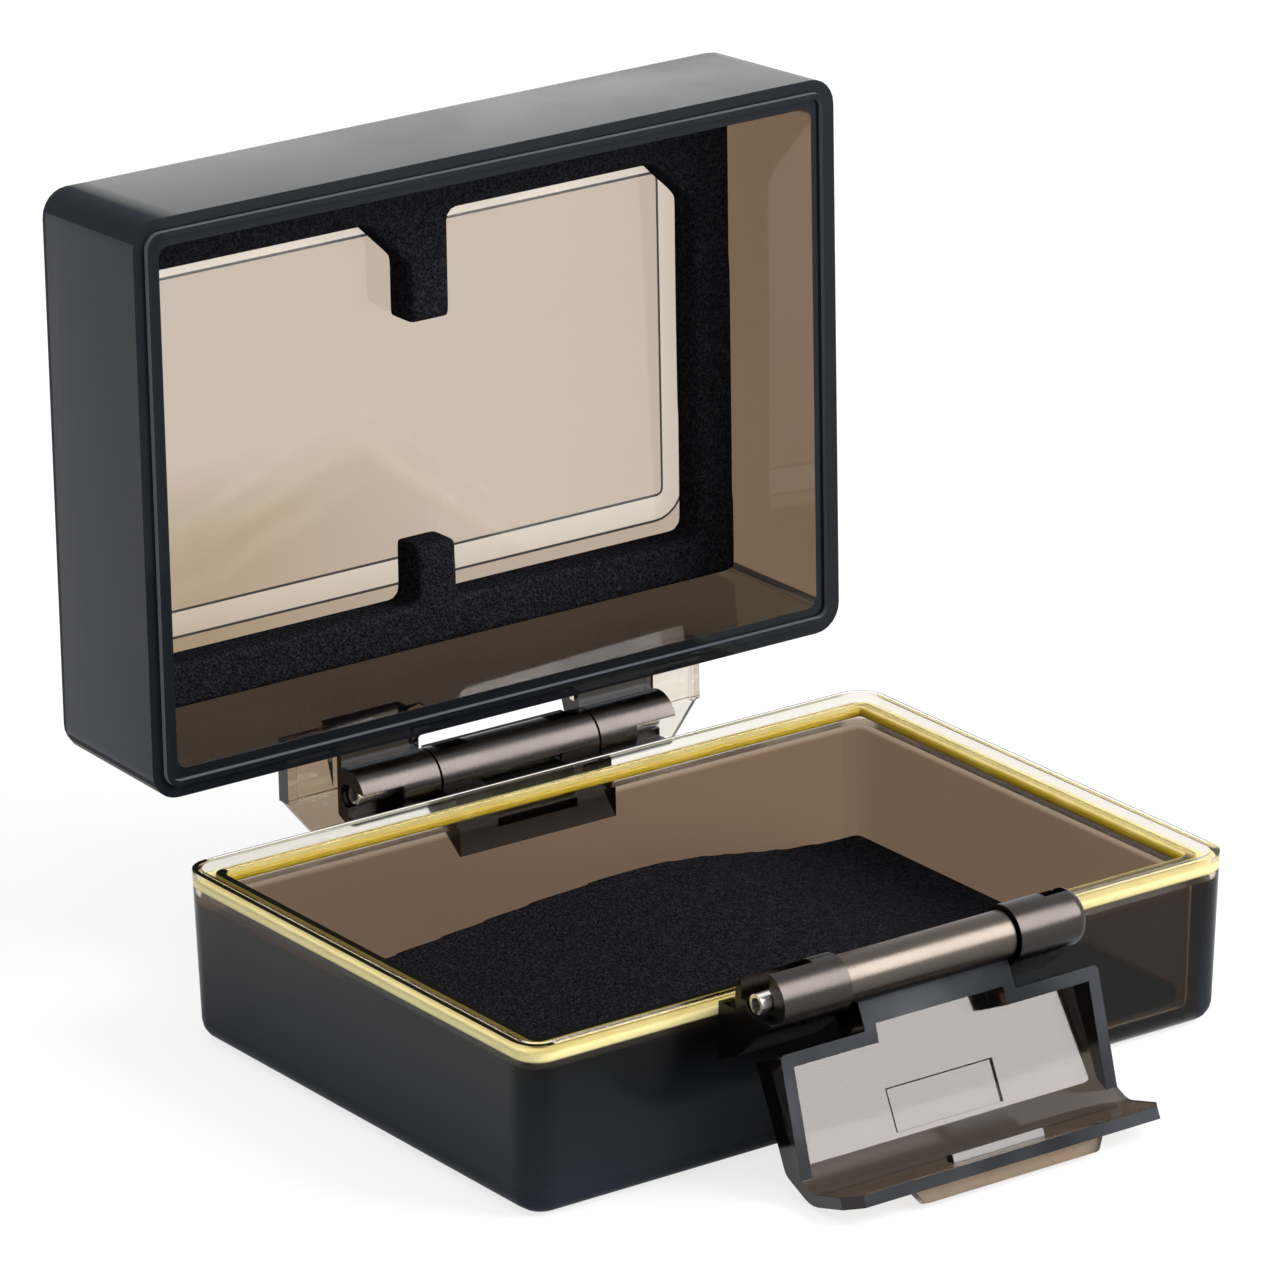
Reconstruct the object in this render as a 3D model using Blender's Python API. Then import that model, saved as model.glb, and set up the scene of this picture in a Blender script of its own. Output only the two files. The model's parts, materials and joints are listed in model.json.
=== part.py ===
"""Battery case: a clamshell box of smoky clear plastic, lined with foam, for two camera batteries.

Lengths are in metres, with +Z up, +Y to the hinge and +X to the right of someone facing the
latch. The origin is the centre of the base's underside. The case stands open: the lid is turned
back about the hinge pin and the latch hangs in front. The lid is drawn in its closed place and
the latch hanging straight down, each round an empty on its joint's axis, which then turns it.
"""

import math

import bmesh
import bpy
from mathutils import Matrix, Vector

# Shells: the base and the lid share one plan, measured at the rims
CASE_LENGTH = 0.104
CASE_WIDTH = 0.0728
BASE_HEIGHT = 0.0218
LID_HEIGHT = 0.0227
WALL = 0.0036
FLOOR = 0.0018
ROOF = 0.0018
RIM_CORNER = 0.0036
CAVITY_CORNER = 0.0014
OUTER_EDGE_ROUND = 0.0024
CAVITY_EDGE_ROUND = 0.0008
OUTER_DRAFT_SHARE = 0.028
CAVITY_DRAFT_SHARE = 0.018

# Clearances
FIT_GAP = 0.0003
OVERRUN = 0.002
EMBED = 0.001
MERGE = 0.000001
FLAT_ANGLE = math.radians(0.5)

# Seal in the base's rim, and the lid's tongue that presses on it
SEAL_OUTER_WALL = 0.0012
GROOVE_WIDTH = 0.0015
GROOVE_DEPTH = 0.0024
LIP_DROP = 0.0006
TONGUE_LENGTH = 0.0007
TONGUE_SIDE_GAP = 0.0004
SEAL_ROUND_SHARE = 0.42

# Pressed panel in the roof's outer face
PANEL_LENGTH = 0.0874
PANEL_WIDTH = 0.05
PANEL_CORNER = 0.0044
PANEL_BORDER = 0.0036
PANEL_DEPTH = 0.0008

# Hinge behind the case
HINGE_REACH = 0.0057
HINGE_RISE = 0.0006
KNUCKLE_RADIUS = 0.0036
BASE_KNUCKLE_LENGTH = 0.0237
LID_KNUCKLE_LENGTH = 0.01155
HINGE_FOOT_DROP = 0.008
BRACKET_TOP_DROP = 0.0004
BRACKET_SIDE = 0.0058
BRACKET_BAR = 0.0026
STOP_BLOCK_RISE = 0.0029
STOP_BLOCK_DEPTH = 0.003
BARREL_FACE_DEPTH = 0.0009
BASE_WINDOW_START = 0.0062
BASE_WINDOW_LENGTH = 0.0044
BASE_WINDOW_BACK_WALL = 0.001
LID_FOOT_RISE = 0.006
LID_BRACKET_FACE_RISE = 0.0015
LID_WINDOW_LENGTH = 0.006
LID_WINDOW_FRONT = 0.001
LID_WINDOW_BACK = 0.0026

# Hood plates that cover the hinge from above when the case is shut
HOOD_RISE = 0.0025
HOOD_THICKNESS = 0.0016
HOOD_OUTER_END = 0.0313
HOOD_INNER_END = 0.0103
HOOD_REACH = 0.0101
HOOD_CHAMFER_X = 0.0038
HOOD_CHAMFER_Y = 0.0046
HOOD_LIP_THICKNESS = 0.001
HOOD_NECK_REACH = 0.0005
HOOD_NECK_SLOPE = 0.0013
HOOD_RETURN_WIDTH = 0.0014
HOOD_RETURN_DROP = 0.0005

# Slotted spring pins
PIN_RADIUS = 0.00125
PIN_WALL = 0.00042
PIN_SLOT = 0.0005
HINGE_PIN_LENGTH = 0.0456

# Latch joint in front of the case
LATCH_REACH = 0.0068
LATCH_RISE = 0.0013
LATCH_BARREL_RADIUS = 0.003
LATCH_BARREL_LEFT_END = 0.0133
LATCH_BARREL_RIGHT_END = 0.0111
LATCH_KNUCKLE_LEFT_END = 0.0252
LATCH_KNUCKLE_RIGHT_END = 0.0218
LATCH_FOOT_DROP = 0.0077
LATCH_KNEE_REACH = 0.0034
LATCH_KNEE_RISE = 0.0015
LATCH_BRACKET_SIDE = 0.0018
LATCH_BRACKET_BAR = 0.0022
LATCH_WINDOW_START = 0.0171
LATCH_WINDOW_FRONT = 0.0006
PIN_MOUTH_LENGTH = 0.0018
PIN_END_INSET = 0.0003
PIN_STOP_WALL = 0.0012
CLOSED_END_ROUND = 0.0016

# Latch: distances down from its axis, and out of the tray towards the lid that it clasps
LATCH_LENGTH = 0.0469
LATCH_NECK_LENGTH = 0.0222
LATCH_NECK_WALL = 0.00165
SHOULDER_DROP = 0.0065
TRAY_WALL = 0.00165
TRAY_DEPTH = 0.00375
TRAY_BAND = 0.0029
TRAY_FLOOR_END = 0.0196
TRAY_EDGE_END = 0.0209
TRAY_EDGE_FALL = 0.0024
LATCH_SKIN = 0.0015
RAMP_TURN_OUT = 0.0028
RAMP_TURN_DROP = 0.0033
FLANGE_OUT = 0.0068
FLANGE_DROP = 0.0242
FLANGE_CHAMFER_X = 0.0018
FLANGE_CHAMFER_OUT = 0.0024
BACK_BEND_DROP = 0.0055
HOOK_LENGTH = 0.0134
HOOK_THICKNESS = 0.0013
HOOK_OUT = 0.0037
HOOK_RISE = 0.0009
TAB_ROOT_LENGTH = 0.0286
TAB_TIP_LENGTH = 0.0256
TAB_DROP = 0.0273
TAB_OUT = 0.0044
TAB_THICKNESS = 0.0012
TAB_CORNER = 0.0008
PANEL_MARK_LENGTH = 0.0158
PANEL_MARK_TOP = 0.0137
PANEL_MARK_DEPTH = 0.0002
LATCH_CORNER = 0.0006
RAMP_ROUND = 0.0024
FLOOR_ROUND = 0.0006

# Foam
FOAM_CORNER = 0.0012
LID_FOAM_THICKNESS = 0.0052
POCKET_END_INSET = 0.0104
POCKET_FRONT_INSET = 0.012
POCKET_BACK_INSET = 0.0104
POCKET_CHAMFER = 0.006
DIVIDER_WIDTH = 0.006
DIVIDER_OFFSET = 0.001
FRONT_TAB_LENGTH = 0.0137
BACK_TAB_LENGTH = 0.0077
PAD_THICKNESS = 0.0025
PAD_CROWN = 0.0034
PAD_CROWN_OFFSET = 0.013

# Pose in the photograph
LID_OPEN_ANGLE = math.radians(91.1)
LATCH_OPEN_ANGLE = math.radians(25.0)

# Smoothness of arcs
CORNER_STEPS = 6
EDGE_STEPS = 4
SMALL_ARC_STEPS = 3
BARREL_STEPS = 30
PIN_STEPS = 28
BORE_STEPS = 32
CROWN_STEPS = 24

# Directions: rows turn an outline's across, along and depth into x, y and z
PLAN = Matrix(((1, 0, 0), (0, 1, 0), (0, 0, 1))).to_4x4()
SIDE = Matrix(((0, 0, 1), (1, 0, 0), (0, 1, 0))).to_4x4()
FRONT = Matrix(((1, 0, 0), (0, 0, 1), (0, 1, 0))).to_4x4()

# Joint axes and the levels that several pieces share
HALF_LENGTH = CASE_LENGTH / 2
HALF_WIDTH = CASE_WIDTH / 2
HINGE_AXIS = Vector((0, HALF_WIDTH + HINGE_REACH, BASE_HEIGHT + HINGE_RISE))
LATCH_AXIS = Vector((0, -HALF_WIDTH - LATCH_REACH, BASE_HEIGHT + LATCH_RISE))
LID_RIM = BASE_HEIGHT + FIT_GAP
LID_TOP = LID_RIM + LID_HEIGHT
BORE_RADIUS = PIN_RADIUS + FIT_GAP
LID_KNUCKLE_START = BASE_KNUCKLE_LENGTH / 2 + FIT_GAP
LID_KNUCKLE_END = LID_KNUCKLE_START + LID_KNUCKLE_LENGTH


def clear_scene():
    for obj in list(bpy.data.objects):
        bpy.data.objects.remove(obj)


def make_collection(name):
    collection = bpy.data.collections.new(name)
    bpy.context.scene.collection.children.link(collection)
    return collection


def make_material(name, colour, roughness, metallic=0.0, transmission=0.0):
    material = bpy.data.materials.new(name)
    material.use_nodes = True
    shader = material.node_tree.nodes["Principled BSDF"]
    shader.inputs["Base Color"].default_value = (*colour, 1.0)
    shader.inputs["Roughness"].default_value = roughness
    shader.inputs["Metallic"].default_value = metallic
    shader.inputs["Transmission Weight"].default_value = transmission
    material.diffuse_color = (*colour, 1.0)
    return material


def object_from(bm, name):
    """A helper solid: hidden from renders until finish_piece makes it a piece."""
    bmesh.ops.recalc_face_normals(bm, faces=bm.faces)
    mesh = bpy.data.meshes.new(name)
    bm.to_mesh(mesh)
    bm.free()
    obj = bpy.data.objects.new(name, mesh)
    obj.hide_render = True
    obj.display_type = "WIRE"
    TOOLS.objects.link(obj)
    return obj


def rounded_box(name, half_size, low, high, corner, draft=0.0, edge=0.0, narrow_top=False):
    """A box with rounded upright corners, drafted towards its narrow end, whose rim is rounded.

    half_size is the half length and half width at the wide end.
    """
    bm = bmesh.new()
    bmesh.ops.create_cube(bm, size=2)
    narrowing = draft * (high - low)
    for vert in bm.verts:
        at_narrow_end = (vert.co.z > 0) == narrow_top
        inset = narrowing if at_narrow_end else 0
        vert.co.x *= half_size[0] - inset
        vert.co.y *= half_size[1] - inset
        vert.co.z = high if vert.co.z > 0 else low
    upright = [e for e in bm.edges if e.verts[0].co.z != e.verts[1].co.z]
    bevel(bm, upright, corner, CORNER_STEPS)
    if edge:
        end = high if narrow_top else low
        bevel(bm, level_edges(bm, 2, end), edge, EDGE_STEPS)
    return object_from(bm, name)


def bevel(bm, edges, offset, segments):
    bmesh.ops.bevel(bm, geom=edges, offset=offset, segments=segments, profile=0.5, affect="EDGES")


def level_edges(bm, axis, level):
    """The outer edges of the flat face that closes a solid at a level of one axis."""
    return [
        edge
        for edge in bm.edges
        if all(abs(vert.co[axis] - level) < MERGE for vert in edge.verts)
        and sum(all(abs(v.co[axis] - level) < MERGE for v in f.verts) for f in edge.link_faces) == 1
    ]


def prism(name, outlines, start, end, frame):
    """An outline, with any holes as further outlines, extruded along its depth."""
    curve = bpy.data.curves.new(name, "CURVE")
    curve.dimensions = "2D"
    curve.fill_mode = "BOTH"
    curve.extrude = abs(end - start) / 2
    for outline in outlines:
        spline = curve.splines.new("POLY")
        spline.points.add(len(outline) - 1)
        for point, (across, along) in zip(spline.points, outline):
            point.co = (across, along, 0, 1)
        spline.use_cyclic_u = True
    holder = bpy.data.objects.new(name, curve)
    mesh = bpy.data.meshes.new_from_object(holder)
    bm = bmesh.new()
    bm.from_mesh(mesh)
    bpy.data.objects.remove(holder)
    bpy.data.curves.remove(curve)
    bpy.data.meshes.remove(mesh)
    bmesh.ops.remove_doubles(bm, verts=bm.verts, dist=MERGE)
    bmesh.ops.translate(bm, verts=bm.verts, vec=(0, 0, (start + end) / 2))
    bmesh.ops.transform(bm, matrix=frame, verts=bm.verts)
    return object_from(bm, name)


def box(name, x_range, y_range, z_range):
    """A plain block between two bounds on each axis."""
    bm = bmesh.new()
    bmesh.ops.create_cube(bm, size=1)
    for vert in bm.verts:
        for axis, bounds in enumerate((x_range, y_range, z_range)):
            vert.co[axis] = max(bounds) if vert.co[axis] > 0 else min(bounds)
    return object_from(bm, name)


def rod(name, radius, start, end, centre, segments):
    """A round bar along x, centred on a joint's axis."""
    bm = bmesh.new()
    turn = Matrix.Rotation(math.pi / 2, 4, "Y")
    middle = Vector(((start + end) / 2, centre.y, centre.z))
    bmesh.ops.create_cone(
        bm,
        cap_ends=True,
        segments=segments,
        radius1=radius,
        radius2=radius,
        depth=abs(end - start),
        matrix=Matrix.Translation(middle) @ turn,
    )
    return object_from(bm, name)


def rounded(corners, steps=SMALL_ARC_STEPS):
    """An outline whose corners, each (across, along) or (across, along, radius), become arcs."""
    outline = []
    for index, corner in enumerate(corners):
        here = Vector(corner[:2])
        radius = corner[2] if len(corner) == 3 else 0
        if not radius:
            outline.append(tuple(here))
            continue
        back = (Vector(corners[index - 1][:2]) - here).normalized()
        ahead = (Vector(corners[(index + 1) % len(corners)][:2]) - here).normalized()
        opening = back.angle(ahead)
        centre = here + (back + ahead).normalized() * radius / math.sin(opening / 2)
        first = here + back * radius / math.tan(opening / 2) - centre
        last = here + ahead * radius / math.tan(opening / 2) - centre
        sweep = math.pi - opening
        for step in range(steps + 1):
            part = step / steps
            swung = first * math.sin((1 - part) * sweep) + last * math.sin(part * sweep)
            outline.append(tuple(centre + swung / math.sin(sweep)))
    return outline


def box_outline(half_size, corner):
    length, width = half_size
    corners = [
        (-length, -width, corner),
        (length, -width, corner),
        (length, width, corner),
        (-length, width, corner),
    ]
    return rounded(corners, CORNER_STEPS)


def rim_outline(inset, corner):
    """The shells' plan at the rim, moved inwards."""
    return box_outline((HALF_LENGTH - inset, HALF_WIDTH - inset), corner)


def knuckle_outline(feet, edge, centre, radius):
    """The side view of a knuckle and the web that carries it.

    Measured outwards from the wall and towards the web's flat edge. The web leaves the last
    foot on the line that touches the barrel's far side, and the barrel closes on the edge.
    """
    foot = Vector(feet[-1])
    line = centre - foot
    leave = math.atan2(line.y, line.x) - math.asin(radius / line.length)
    start = leave - math.pi / 2
    end = math.pi - math.asin((edge - centre.y) / radius)
    arc = [
        (centre.x + radius * math.cos(turn), centre.y + radius * math.sin(turn))
        for turn in (start + (end - start) * step / BARREL_STEPS for step in range(BARREL_STEPS + 1))
    ]
    return [(-EMBED, feet[0][1]), *feet, *arc, (-EMBED, edge)]


def in_case(outline, wall, out, up):
    """Turns a knuckle's outline, measured from the wall, into y and z."""
    return [(wall + out * across, up * along) for across, along in outline]


def modify(target, tool, operation, name):
    modifier = target.modifiers.new(name, "BOOLEAN")
    modifier.operation = operation
    modifier.solver = "EXACT"
    modifier.object = tool


def join(target, *tools):
    for tool in tools:
        modify(target, tool, "UNION", "add " + tool.name)


def cut(target, *tools):
    for tool in tools:
        modify(target, tool, "DIFFERENCE", "cut " + tool.name)


def keep(target, tool):
    modify(target, tool, "INTERSECT", "keep " + tool.name)


def finish_piece(obj, material, pivot=None):
    """Makes a helper a piece of the case, and hangs it and its tools from its joint's empty."""
    TOOLS.objects.unlink(obj)
    CASE.objects.link(obj)
    obj.hide_render = False
    obj.display_type = "TEXTURED"
    obj.data.materials.append(material)
    if pivot:
        for hung in [obj, *(modifier.object for modifier in obj.modifiers)]:
            hung.data.transform(Matrix.Translation(-pivot.location))
            hung.parent = pivot
    return obj


def make_pivot(name, location, turn):
    pivot = bpy.data.objects.new(name, None)
    pivot.empty_display_size = KNUCKLE_RADIUS
    pivot.location = location
    pivot.rotation_euler.x = turn
    CASE.objects.link(pivot)
    return pivot


def base_hinge_knuckle():
    """The middle knuckle with its web, cored behind the wall to a U of even thickness."""
    centre = Vector((HINGE_REACH, HINGE_AXIS.z))
    feet = [(0, BASE_HEIGHT - HINGE_FOOT_DROP)]
    outline = knuckle_outline(feet, BASE_HEIGHT - BRACKET_TOP_DROP, centre, KNUCKLE_RADIUS)
    half = BASE_KNUCKLE_LENGTH / 2
    return prism("base_hinge_knuckle", [in_case(outline, HALF_WIDTH, 1, 1)], -half, half, SIDE)


def stop_block():
    """The flat-topped rise at the back of the middle knuckle."""
    half = BASE_WINDOW_START + BASE_WINDOW_LENGTH
    front = HINGE_AXIS.y - BARREL_FACE_DEPTH
    back = HINGE_AXIS.y + STOP_BLOCK_DEPTH
    return box("stop_block", (-half, half), (front, back), (HINGE_AXIS.z, HINGE_AXIS.z + STOP_BLOCK_RISE))


def base_hinge_core():
    half = BASE_KNUCKLE_LENGTH / 2 - BRACKET_SIDE
    low = BASE_HEIGHT - HINGE_FOOT_DROP + BRACKET_BAR
    back = HINGE_AXIS.y - KNUCKLE_RADIUS + FIT_GAP
    return box("base_hinge_core", (-half, half), (HALF_WIDTH, back), (low, HINGE_AXIS.z))


def base_window(side):
    """The opening in the top of the middle knuckle, between its front face and its back wall."""
    start = side * BASE_WINDOW_START
    end = start + side * BASE_WINDOW_LENGTH
    front = HINGE_AXIS.y - BARREL_FACE_DEPTH
    back = HINGE_AXIS.y + STOP_BLOCK_DEPTH - BASE_WINDOW_BACK_WALL
    high = HINGE_AXIS.z + KNUCKLE_RADIUS + OVERRUN
    return box(f"base_window_{side}", (start, end), (front, back), (HINGE_AXIS.z, high))


def latch_knuckle_span(side):
    """Where a front knuckle starts beside the latch's barrel, and where it ends."""
    if side < 0:
        return -LATCH_BARREL_LEFT_END - FIT_GAP, -LATCH_KNUCKLE_LEFT_END
    return LATCH_BARREL_RIGHT_END + FIT_GAP, LATCH_KNUCKLE_RIGHT_END


def latch_knuckle(side):
    """A front knuckle on its web, which has a knee under the barrel."""
    centre = Vector((LATCH_REACH, LATCH_AXIS.z))
    foot = BASE_HEIGHT - LATCH_FOOT_DROP
    feet = [(0, foot), (LATCH_KNEE_REACH, foot + LATCH_KNEE_RISE)]
    outline = knuckle_outline(feet, BASE_HEIGHT - BRACKET_TOP_DROP, centre, KNUCKLE_RADIUS)
    start, end = latch_knuckle_span(side)
    knuckle = prism(f"latch_knuckle_{side}", [in_case(outline, -HALF_WIDTH, -1, 1)], start, end, SIDE)
    if side > 0:
        round_closed_end(knuckle, end)
    return knuckle


def round_closed_end(knuckle, end):
    """Rounds the end that the latch pin stops short of, all but along its flat top."""
    bm = bmesh.new()
    bm.from_mesh(knuckle.data)
    bmesh.ops.dissolve_limit(bm, angle_limit=FLAT_ANGLE, verts=bm.verts, edges=bm.edges)
    top = BASE_HEIGHT - BRACKET_TOP_DROP
    rim = [
        edge
        for edge in level_edges(bm, 0, end)
        if all(vert.co.y < MERGE - HALF_WIDTH for vert in edge.verts)
        and any(abs(vert.co.z - top) > MERGE for vert in edge.verts)
    ]
    bevel(bm, rim, CLOSED_END_ROUND, EDGE_STEPS)
    bm.to_mesh(knuckle.data)
    bm.free()


def latch_knuckle_core(side):
    inner, outer = latch_knuckle_span(side)
    x_range = (inner + side * LATCH_BRACKET_SIDE, outer - side * LATCH_BRACKET_SIDE)
    low = BASE_HEIGHT - LATCH_FOOT_DROP + LATCH_KNEE_RISE + LATCH_BRACKET_BAR
    front = LATCH_AXIS.y + KNUCKLE_RADIUS - FIT_GAP
    return box(f"latch_knuckle_core_{side}", x_range, (front, -HALF_WIDTH), (low, LATCH_AXIS.z))


def latch_window(side):
    """The opening in the top of a front knuckle, at its outer end."""
    outer = LATCH_KNUCKLE_LEFT_END + OVERRUN if side < 0 else LATCH_KNUCKLE_RIGHT_END - PIN_STOP_WALL
    x_range = (side * LATCH_WINDOW_START, side * outer)
    front = LATCH_AXIS.y - LATCH_WINDOW_FRONT
    back = LATCH_AXIS.y + KNUCKLE_RADIUS - PIN_STOP_WALL
    high = LATCH_AXIS.z + KNUCKLE_RADIUS + OVERRUN
    return box(f"latch_window_{side}", x_range, (front, back), (LATCH_AXIS.z, high))


def pin_mouth():
    """The cut that bares the end of the latch pin, where the pin goes in."""
    start = -LATCH_KNUCKLE_LEFT_END - OVERRUN
    end = -LATCH_KNUCKLE_LEFT_END + PIN_MOUTH_LENGTH
    front = LATCH_AXIS.y - KNUCKLE_RADIUS - OVERRUN
    high = LATCH_AXIS.z + KNUCKLE_RADIUS + OVERRUN
    low = LATCH_AXIS.z - BORE_RADIUS
    return box("pin_mouth", (start, end), (front, LATCH_AXIS.y), (low, high))


def base_cavity():
    inset = WALL - CAVITY_DRAFT_SHARE * OVERRUN
    return rounded_box(
        "base_cavity",
        (HALF_LENGTH - inset, HALF_WIDTH - inset),
        FLOOR,
        BASE_HEIGHT + OVERRUN,
        CAVITY_CORNER,
        CAVITY_DRAFT_SHARE,
        CAVITY_EDGE_ROUND,
    )


def ring(name, outer_inset, inner_inset, low, high):
    """A ring that follows the rim, between two insets from its outer edge."""
    outlines = [
        rim_outline(outer_inset, max(RIM_CORNER - outer_inset, CAVITY_CORNER)),
        rim_outline(inner_inset, max(RIM_CORNER - inner_inset, CAVITY_CORNER)),
    ]
    return prism(name, outlines, low, high, PLAN)


def seal_groove():
    inner = SEAL_OUTER_WALL + GROOVE_WIDTH
    low = BASE_HEIGHT - GROOVE_DEPTH
    return ring("seal_groove", SEAL_OUTER_WALL, inner, low, BASE_HEIGHT + OVERRUN)


def lip_step():
    """Lowers the lip inside the groove below the outer rim."""
    inset = SEAL_OUTER_WALL + GROOVE_WIDTH / 2
    outline = rim_outline(inset, RIM_CORNER - inset)
    return prism("lip_step", [outline], BASE_HEIGHT - LIP_DROP, BASE_HEIGHT + OVERRUN, PLAN)


def make_base_shell():
    shell = rounded_box(
        "base_shell",
        (HALF_LENGTH, HALF_WIDTH),
        0,
        BASE_HEIGHT,
        RIM_CORNER,
        OUTER_DRAFT_SHARE,
        OUTER_EDGE_ROUND,
    )
    hinge_end = BASE_KNUCKLE_LENGTH / 2 + OVERRUN
    join(shell, base_hinge_knuckle(), stop_block(), latch_knuckle(-1), latch_knuckle(1))
    cut(shell, base_cavity(), seal_groove(), lip_step(), base_hinge_core())
    cut(shell, base_window(-1), base_window(1), latch_knuckle_core(-1), latch_knuckle_core(1))
    cut(shell, latch_window(-1), latch_window(1), pin_mouth())
    cut(shell, rod("hinge_bore", BORE_RADIUS, -hinge_end, hinge_end, HINGE_AXIS, BORE_STEPS))
    bore_start = -LATCH_KNUCKLE_LEFT_END - OVERRUN
    bore_end = LATCH_KNUCKLE_RIGHT_END - PIN_STOP_WALL
    cut(shell, rod("latch_bore", BORE_RADIUS, bore_start, bore_end, LATCH_AXIS, BORE_STEPS))
    return finish_piece(shell, SMOKY_PLASTIC)


def make_seal_ring():
    """The soft cord of the seal: a round-topped section swept along the groove."""
    width = GROOVE_WIDTH - 2 * FIT_GAP
    low = BASE_HEIGHT - GROOVE_DEPTH + FIT_GAP
    high = BASE_HEIGHT - (TONGUE_LENGTH - FIT_GAP) - FIT_GAP
    outer = SEAL_OUTER_WALL + FIT_GAP
    seal = ring("seal_ring", outer, outer + width, low, high)
    bm = bmesh.new()
    bm.from_mesh(seal.data)
    bevel(bm, level_edges(bm, 2, high), width * SEAL_ROUND_SHARE, SMALL_ARC_STEPS)
    bm.to_mesh(seal.data)
    bm.free()
    return finish_piece(seal, YELLOW_RUBBER)


def lid_knuckle(side):
    """An outer knuckle of the hinge, with its web up the lid's back wall."""
    centre = Vector((HINGE_REACH, -HINGE_AXIS.z))
    feet = [(0, -LID_RIM - LID_FOOT_RISE)]
    outline = knuckle_outline(feet, -LID_RIM - LID_BRACKET_FACE_RISE, centre, KNUCKLE_RADIUS)
    return prism(
        f"lid_knuckle_{side}",
        [in_case(outline, HALF_WIDTH, 1, -1)],
        side * LID_KNUCKLE_START,
        side * LID_KNUCKLE_END,
        SIDE,
    )


def hood_plate(side):
    """The plate over one outer knuckle. Its inner end steps round the middle knuckle."""
    wall = HALF_WIDTH
    reach = wall + HOOD_REACH
    neck = wall + HOOD_NECK_REACH
    corners = [
        (side * HOOD_INNER_END, wall - EMBED),
        (side * HOOD_INNER_END, neck),
        (side * LID_KNUCKLE_START, neck + HOOD_NECK_SLOPE),
        (side * LID_KNUCKLE_START, reach),
        (side * (HOOD_OUTER_END - HOOD_CHAMFER_X), reach),
        (side * HOOD_OUTER_END, reach - HOOD_CHAMFER_Y),
        (side * HOOD_OUTER_END, wall - EMBED),
    ]
    low = LID_RIM + HOOD_RISE
    return prism(f"hood_plate_{side}", [corners], low, low + HOOD_THICKNESS, PLAN)


def hood_return(side):
    """The wall that turns down along the outer end of a hood plate."""
    outer = side * HOOD_OUTER_END
    inner = side * (HOOD_OUTER_END - HOOD_RETURN_WIDTH)
    back = HALF_WIDTH + HOOD_REACH - HOOD_CHAMFER_Y
    low = LID_RIM + HOOD_RISE - HOOD_RETURN_DROP
    high = LID_RIM + HOOD_RISE + HOOD_THICKNESS / 2
    return box(f"hood_return_{side}", (inner, outer), (HALF_WIDTH - EMBED, back), (low, high))


def hood_lip():
    """Thins both hood plates behind the hinge axis."""
    ends = HOOD_OUTER_END + OVERRUN
    front = HALF_WIDTH + HOOD_REACH - HOOD_CHAMFER_Y
    back = HALF_WIDTH + HOOD_REACH + OVERRUN
    low = LID_RIM + HOOD_RISE + HOOD_LIP_THICKNESS
    high = LID_RIM + HOOD_RISE + HOOD_THICKNESS + OVERRUN
    return box("hood_lip", (-ends, ends), (front, back), (low, high))


def lid_window(side):
    """The opening under the outer end of a lid knuckle, where the hinge pin shows."""
    start = side * (LID_KNUCKLE_END - LID_WINDOW_LENGTH)
    end = side * (LID_KNUCKLE_END + OVERRUN)
    y_range = (HINGE_AXIS.y - LID_WINDOW_FRONT, HINGE_AXIS.y + LID_WINDOW_BACK)
    low = HINGE_AXIS.z - KNUCKLE_RADIUS - OVERRUN
    return box(f"lid_window_{side}", (start, end), y_range, (low, HINGE_AXIS.z))


def lid_cavity():
    inset = WALL - CAVITY_DRAFT_SHARE * OVERRUN
    return rounded_box(
        "lid_cavity",
        (HALF_LENGTH - inset, HALF_WIDTH - inset),
        LID_RIM - OVERRUN,
        LID_TOP - ROOF,
        CAVITY_CORNER,
        CAVITY_DRAFT_SHARE,
        CAVITY_EDGE_ROUND,
        narrow_top=True,
    )


def roof_panel():
    """The shallow panel in the roof: a chamfered block pressed flat to the panel's depth."""
    bm = bmesh.new()
    bmesh.ops.create_cube(bm, size=2)
    height = PANEL_BORDER + OVERRUN
    for vert in bm.verts:
        vert.co.x *= PANEL_LENGTH / 2
        vert.co.y *= PANEL_WIDTH / 2
        vert.co.z = height if vert.co.z > 0 else 0
    upright = [e for e in bm.edges if e.verts[0].co.z != e.verts[1].co.z]
    bevel(bm, upright, PANEL_CORNER, CORNER_STEPS)
    bevel(bm, level_edges(bm, 2, 0), PANEL_BORDER, 1)
    press = Matrix.Diagonal((1, 1, PANEL_DEPTH / PANEL_BORDER, 1))
    lift = Matrix.Translation((0, 0, LID_TOP - PANEL_DEPTH))
    bmesh.ops.transform(bm, matrix=lift @ press, verts=bm.verts)
    return object_from(bm, "roof_panel")


def rim_tongue():
    """The ridge under the lid's rim that reaches into the seal groove."""
    outer = SEAL_OUTER_WALL + TONGUE_SIDE_GAP
    inner = SEAL_OUTER_WALL + GROOVE_WIDTH - TONGUE_SIDE_GAP
    return ring("rim_tongue", outer, inner, LID_RIM - TONGUE_LENGTH, LID_RIM + EMBED)


def make_lid_shell(pivot):
    shell = rounded_box(
        "lid_shell",
        (HALF_LENGTH, HALF_WIDTH),
        LID_RIM,
        LID_TOP,
        RIM_CORNER,
        OUTER_DRAFT_SHARE,
        OUTER_EDGE_ROUND,
        narrow_top=True,
    )
    for side in (-1, 1):
        join(shell, lid_knuckle(side), hood_plate(side), hood_return(side))
    cut(shell, hood_lip(), lid_cavity(), roof_panel(), lid_window(-1), lid_window(1))
    end = LID_KNUCKLE_END + OVERRUN
    cut(shell, rod("lid_bore", BORE_RADIUS, -end, end, HINGE_AXIS, BORE_STEPS))
    join(shell, rim_tongue())
    return finish_piece(shell, SMOKY_PLASTIC_LID, pivot)


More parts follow.
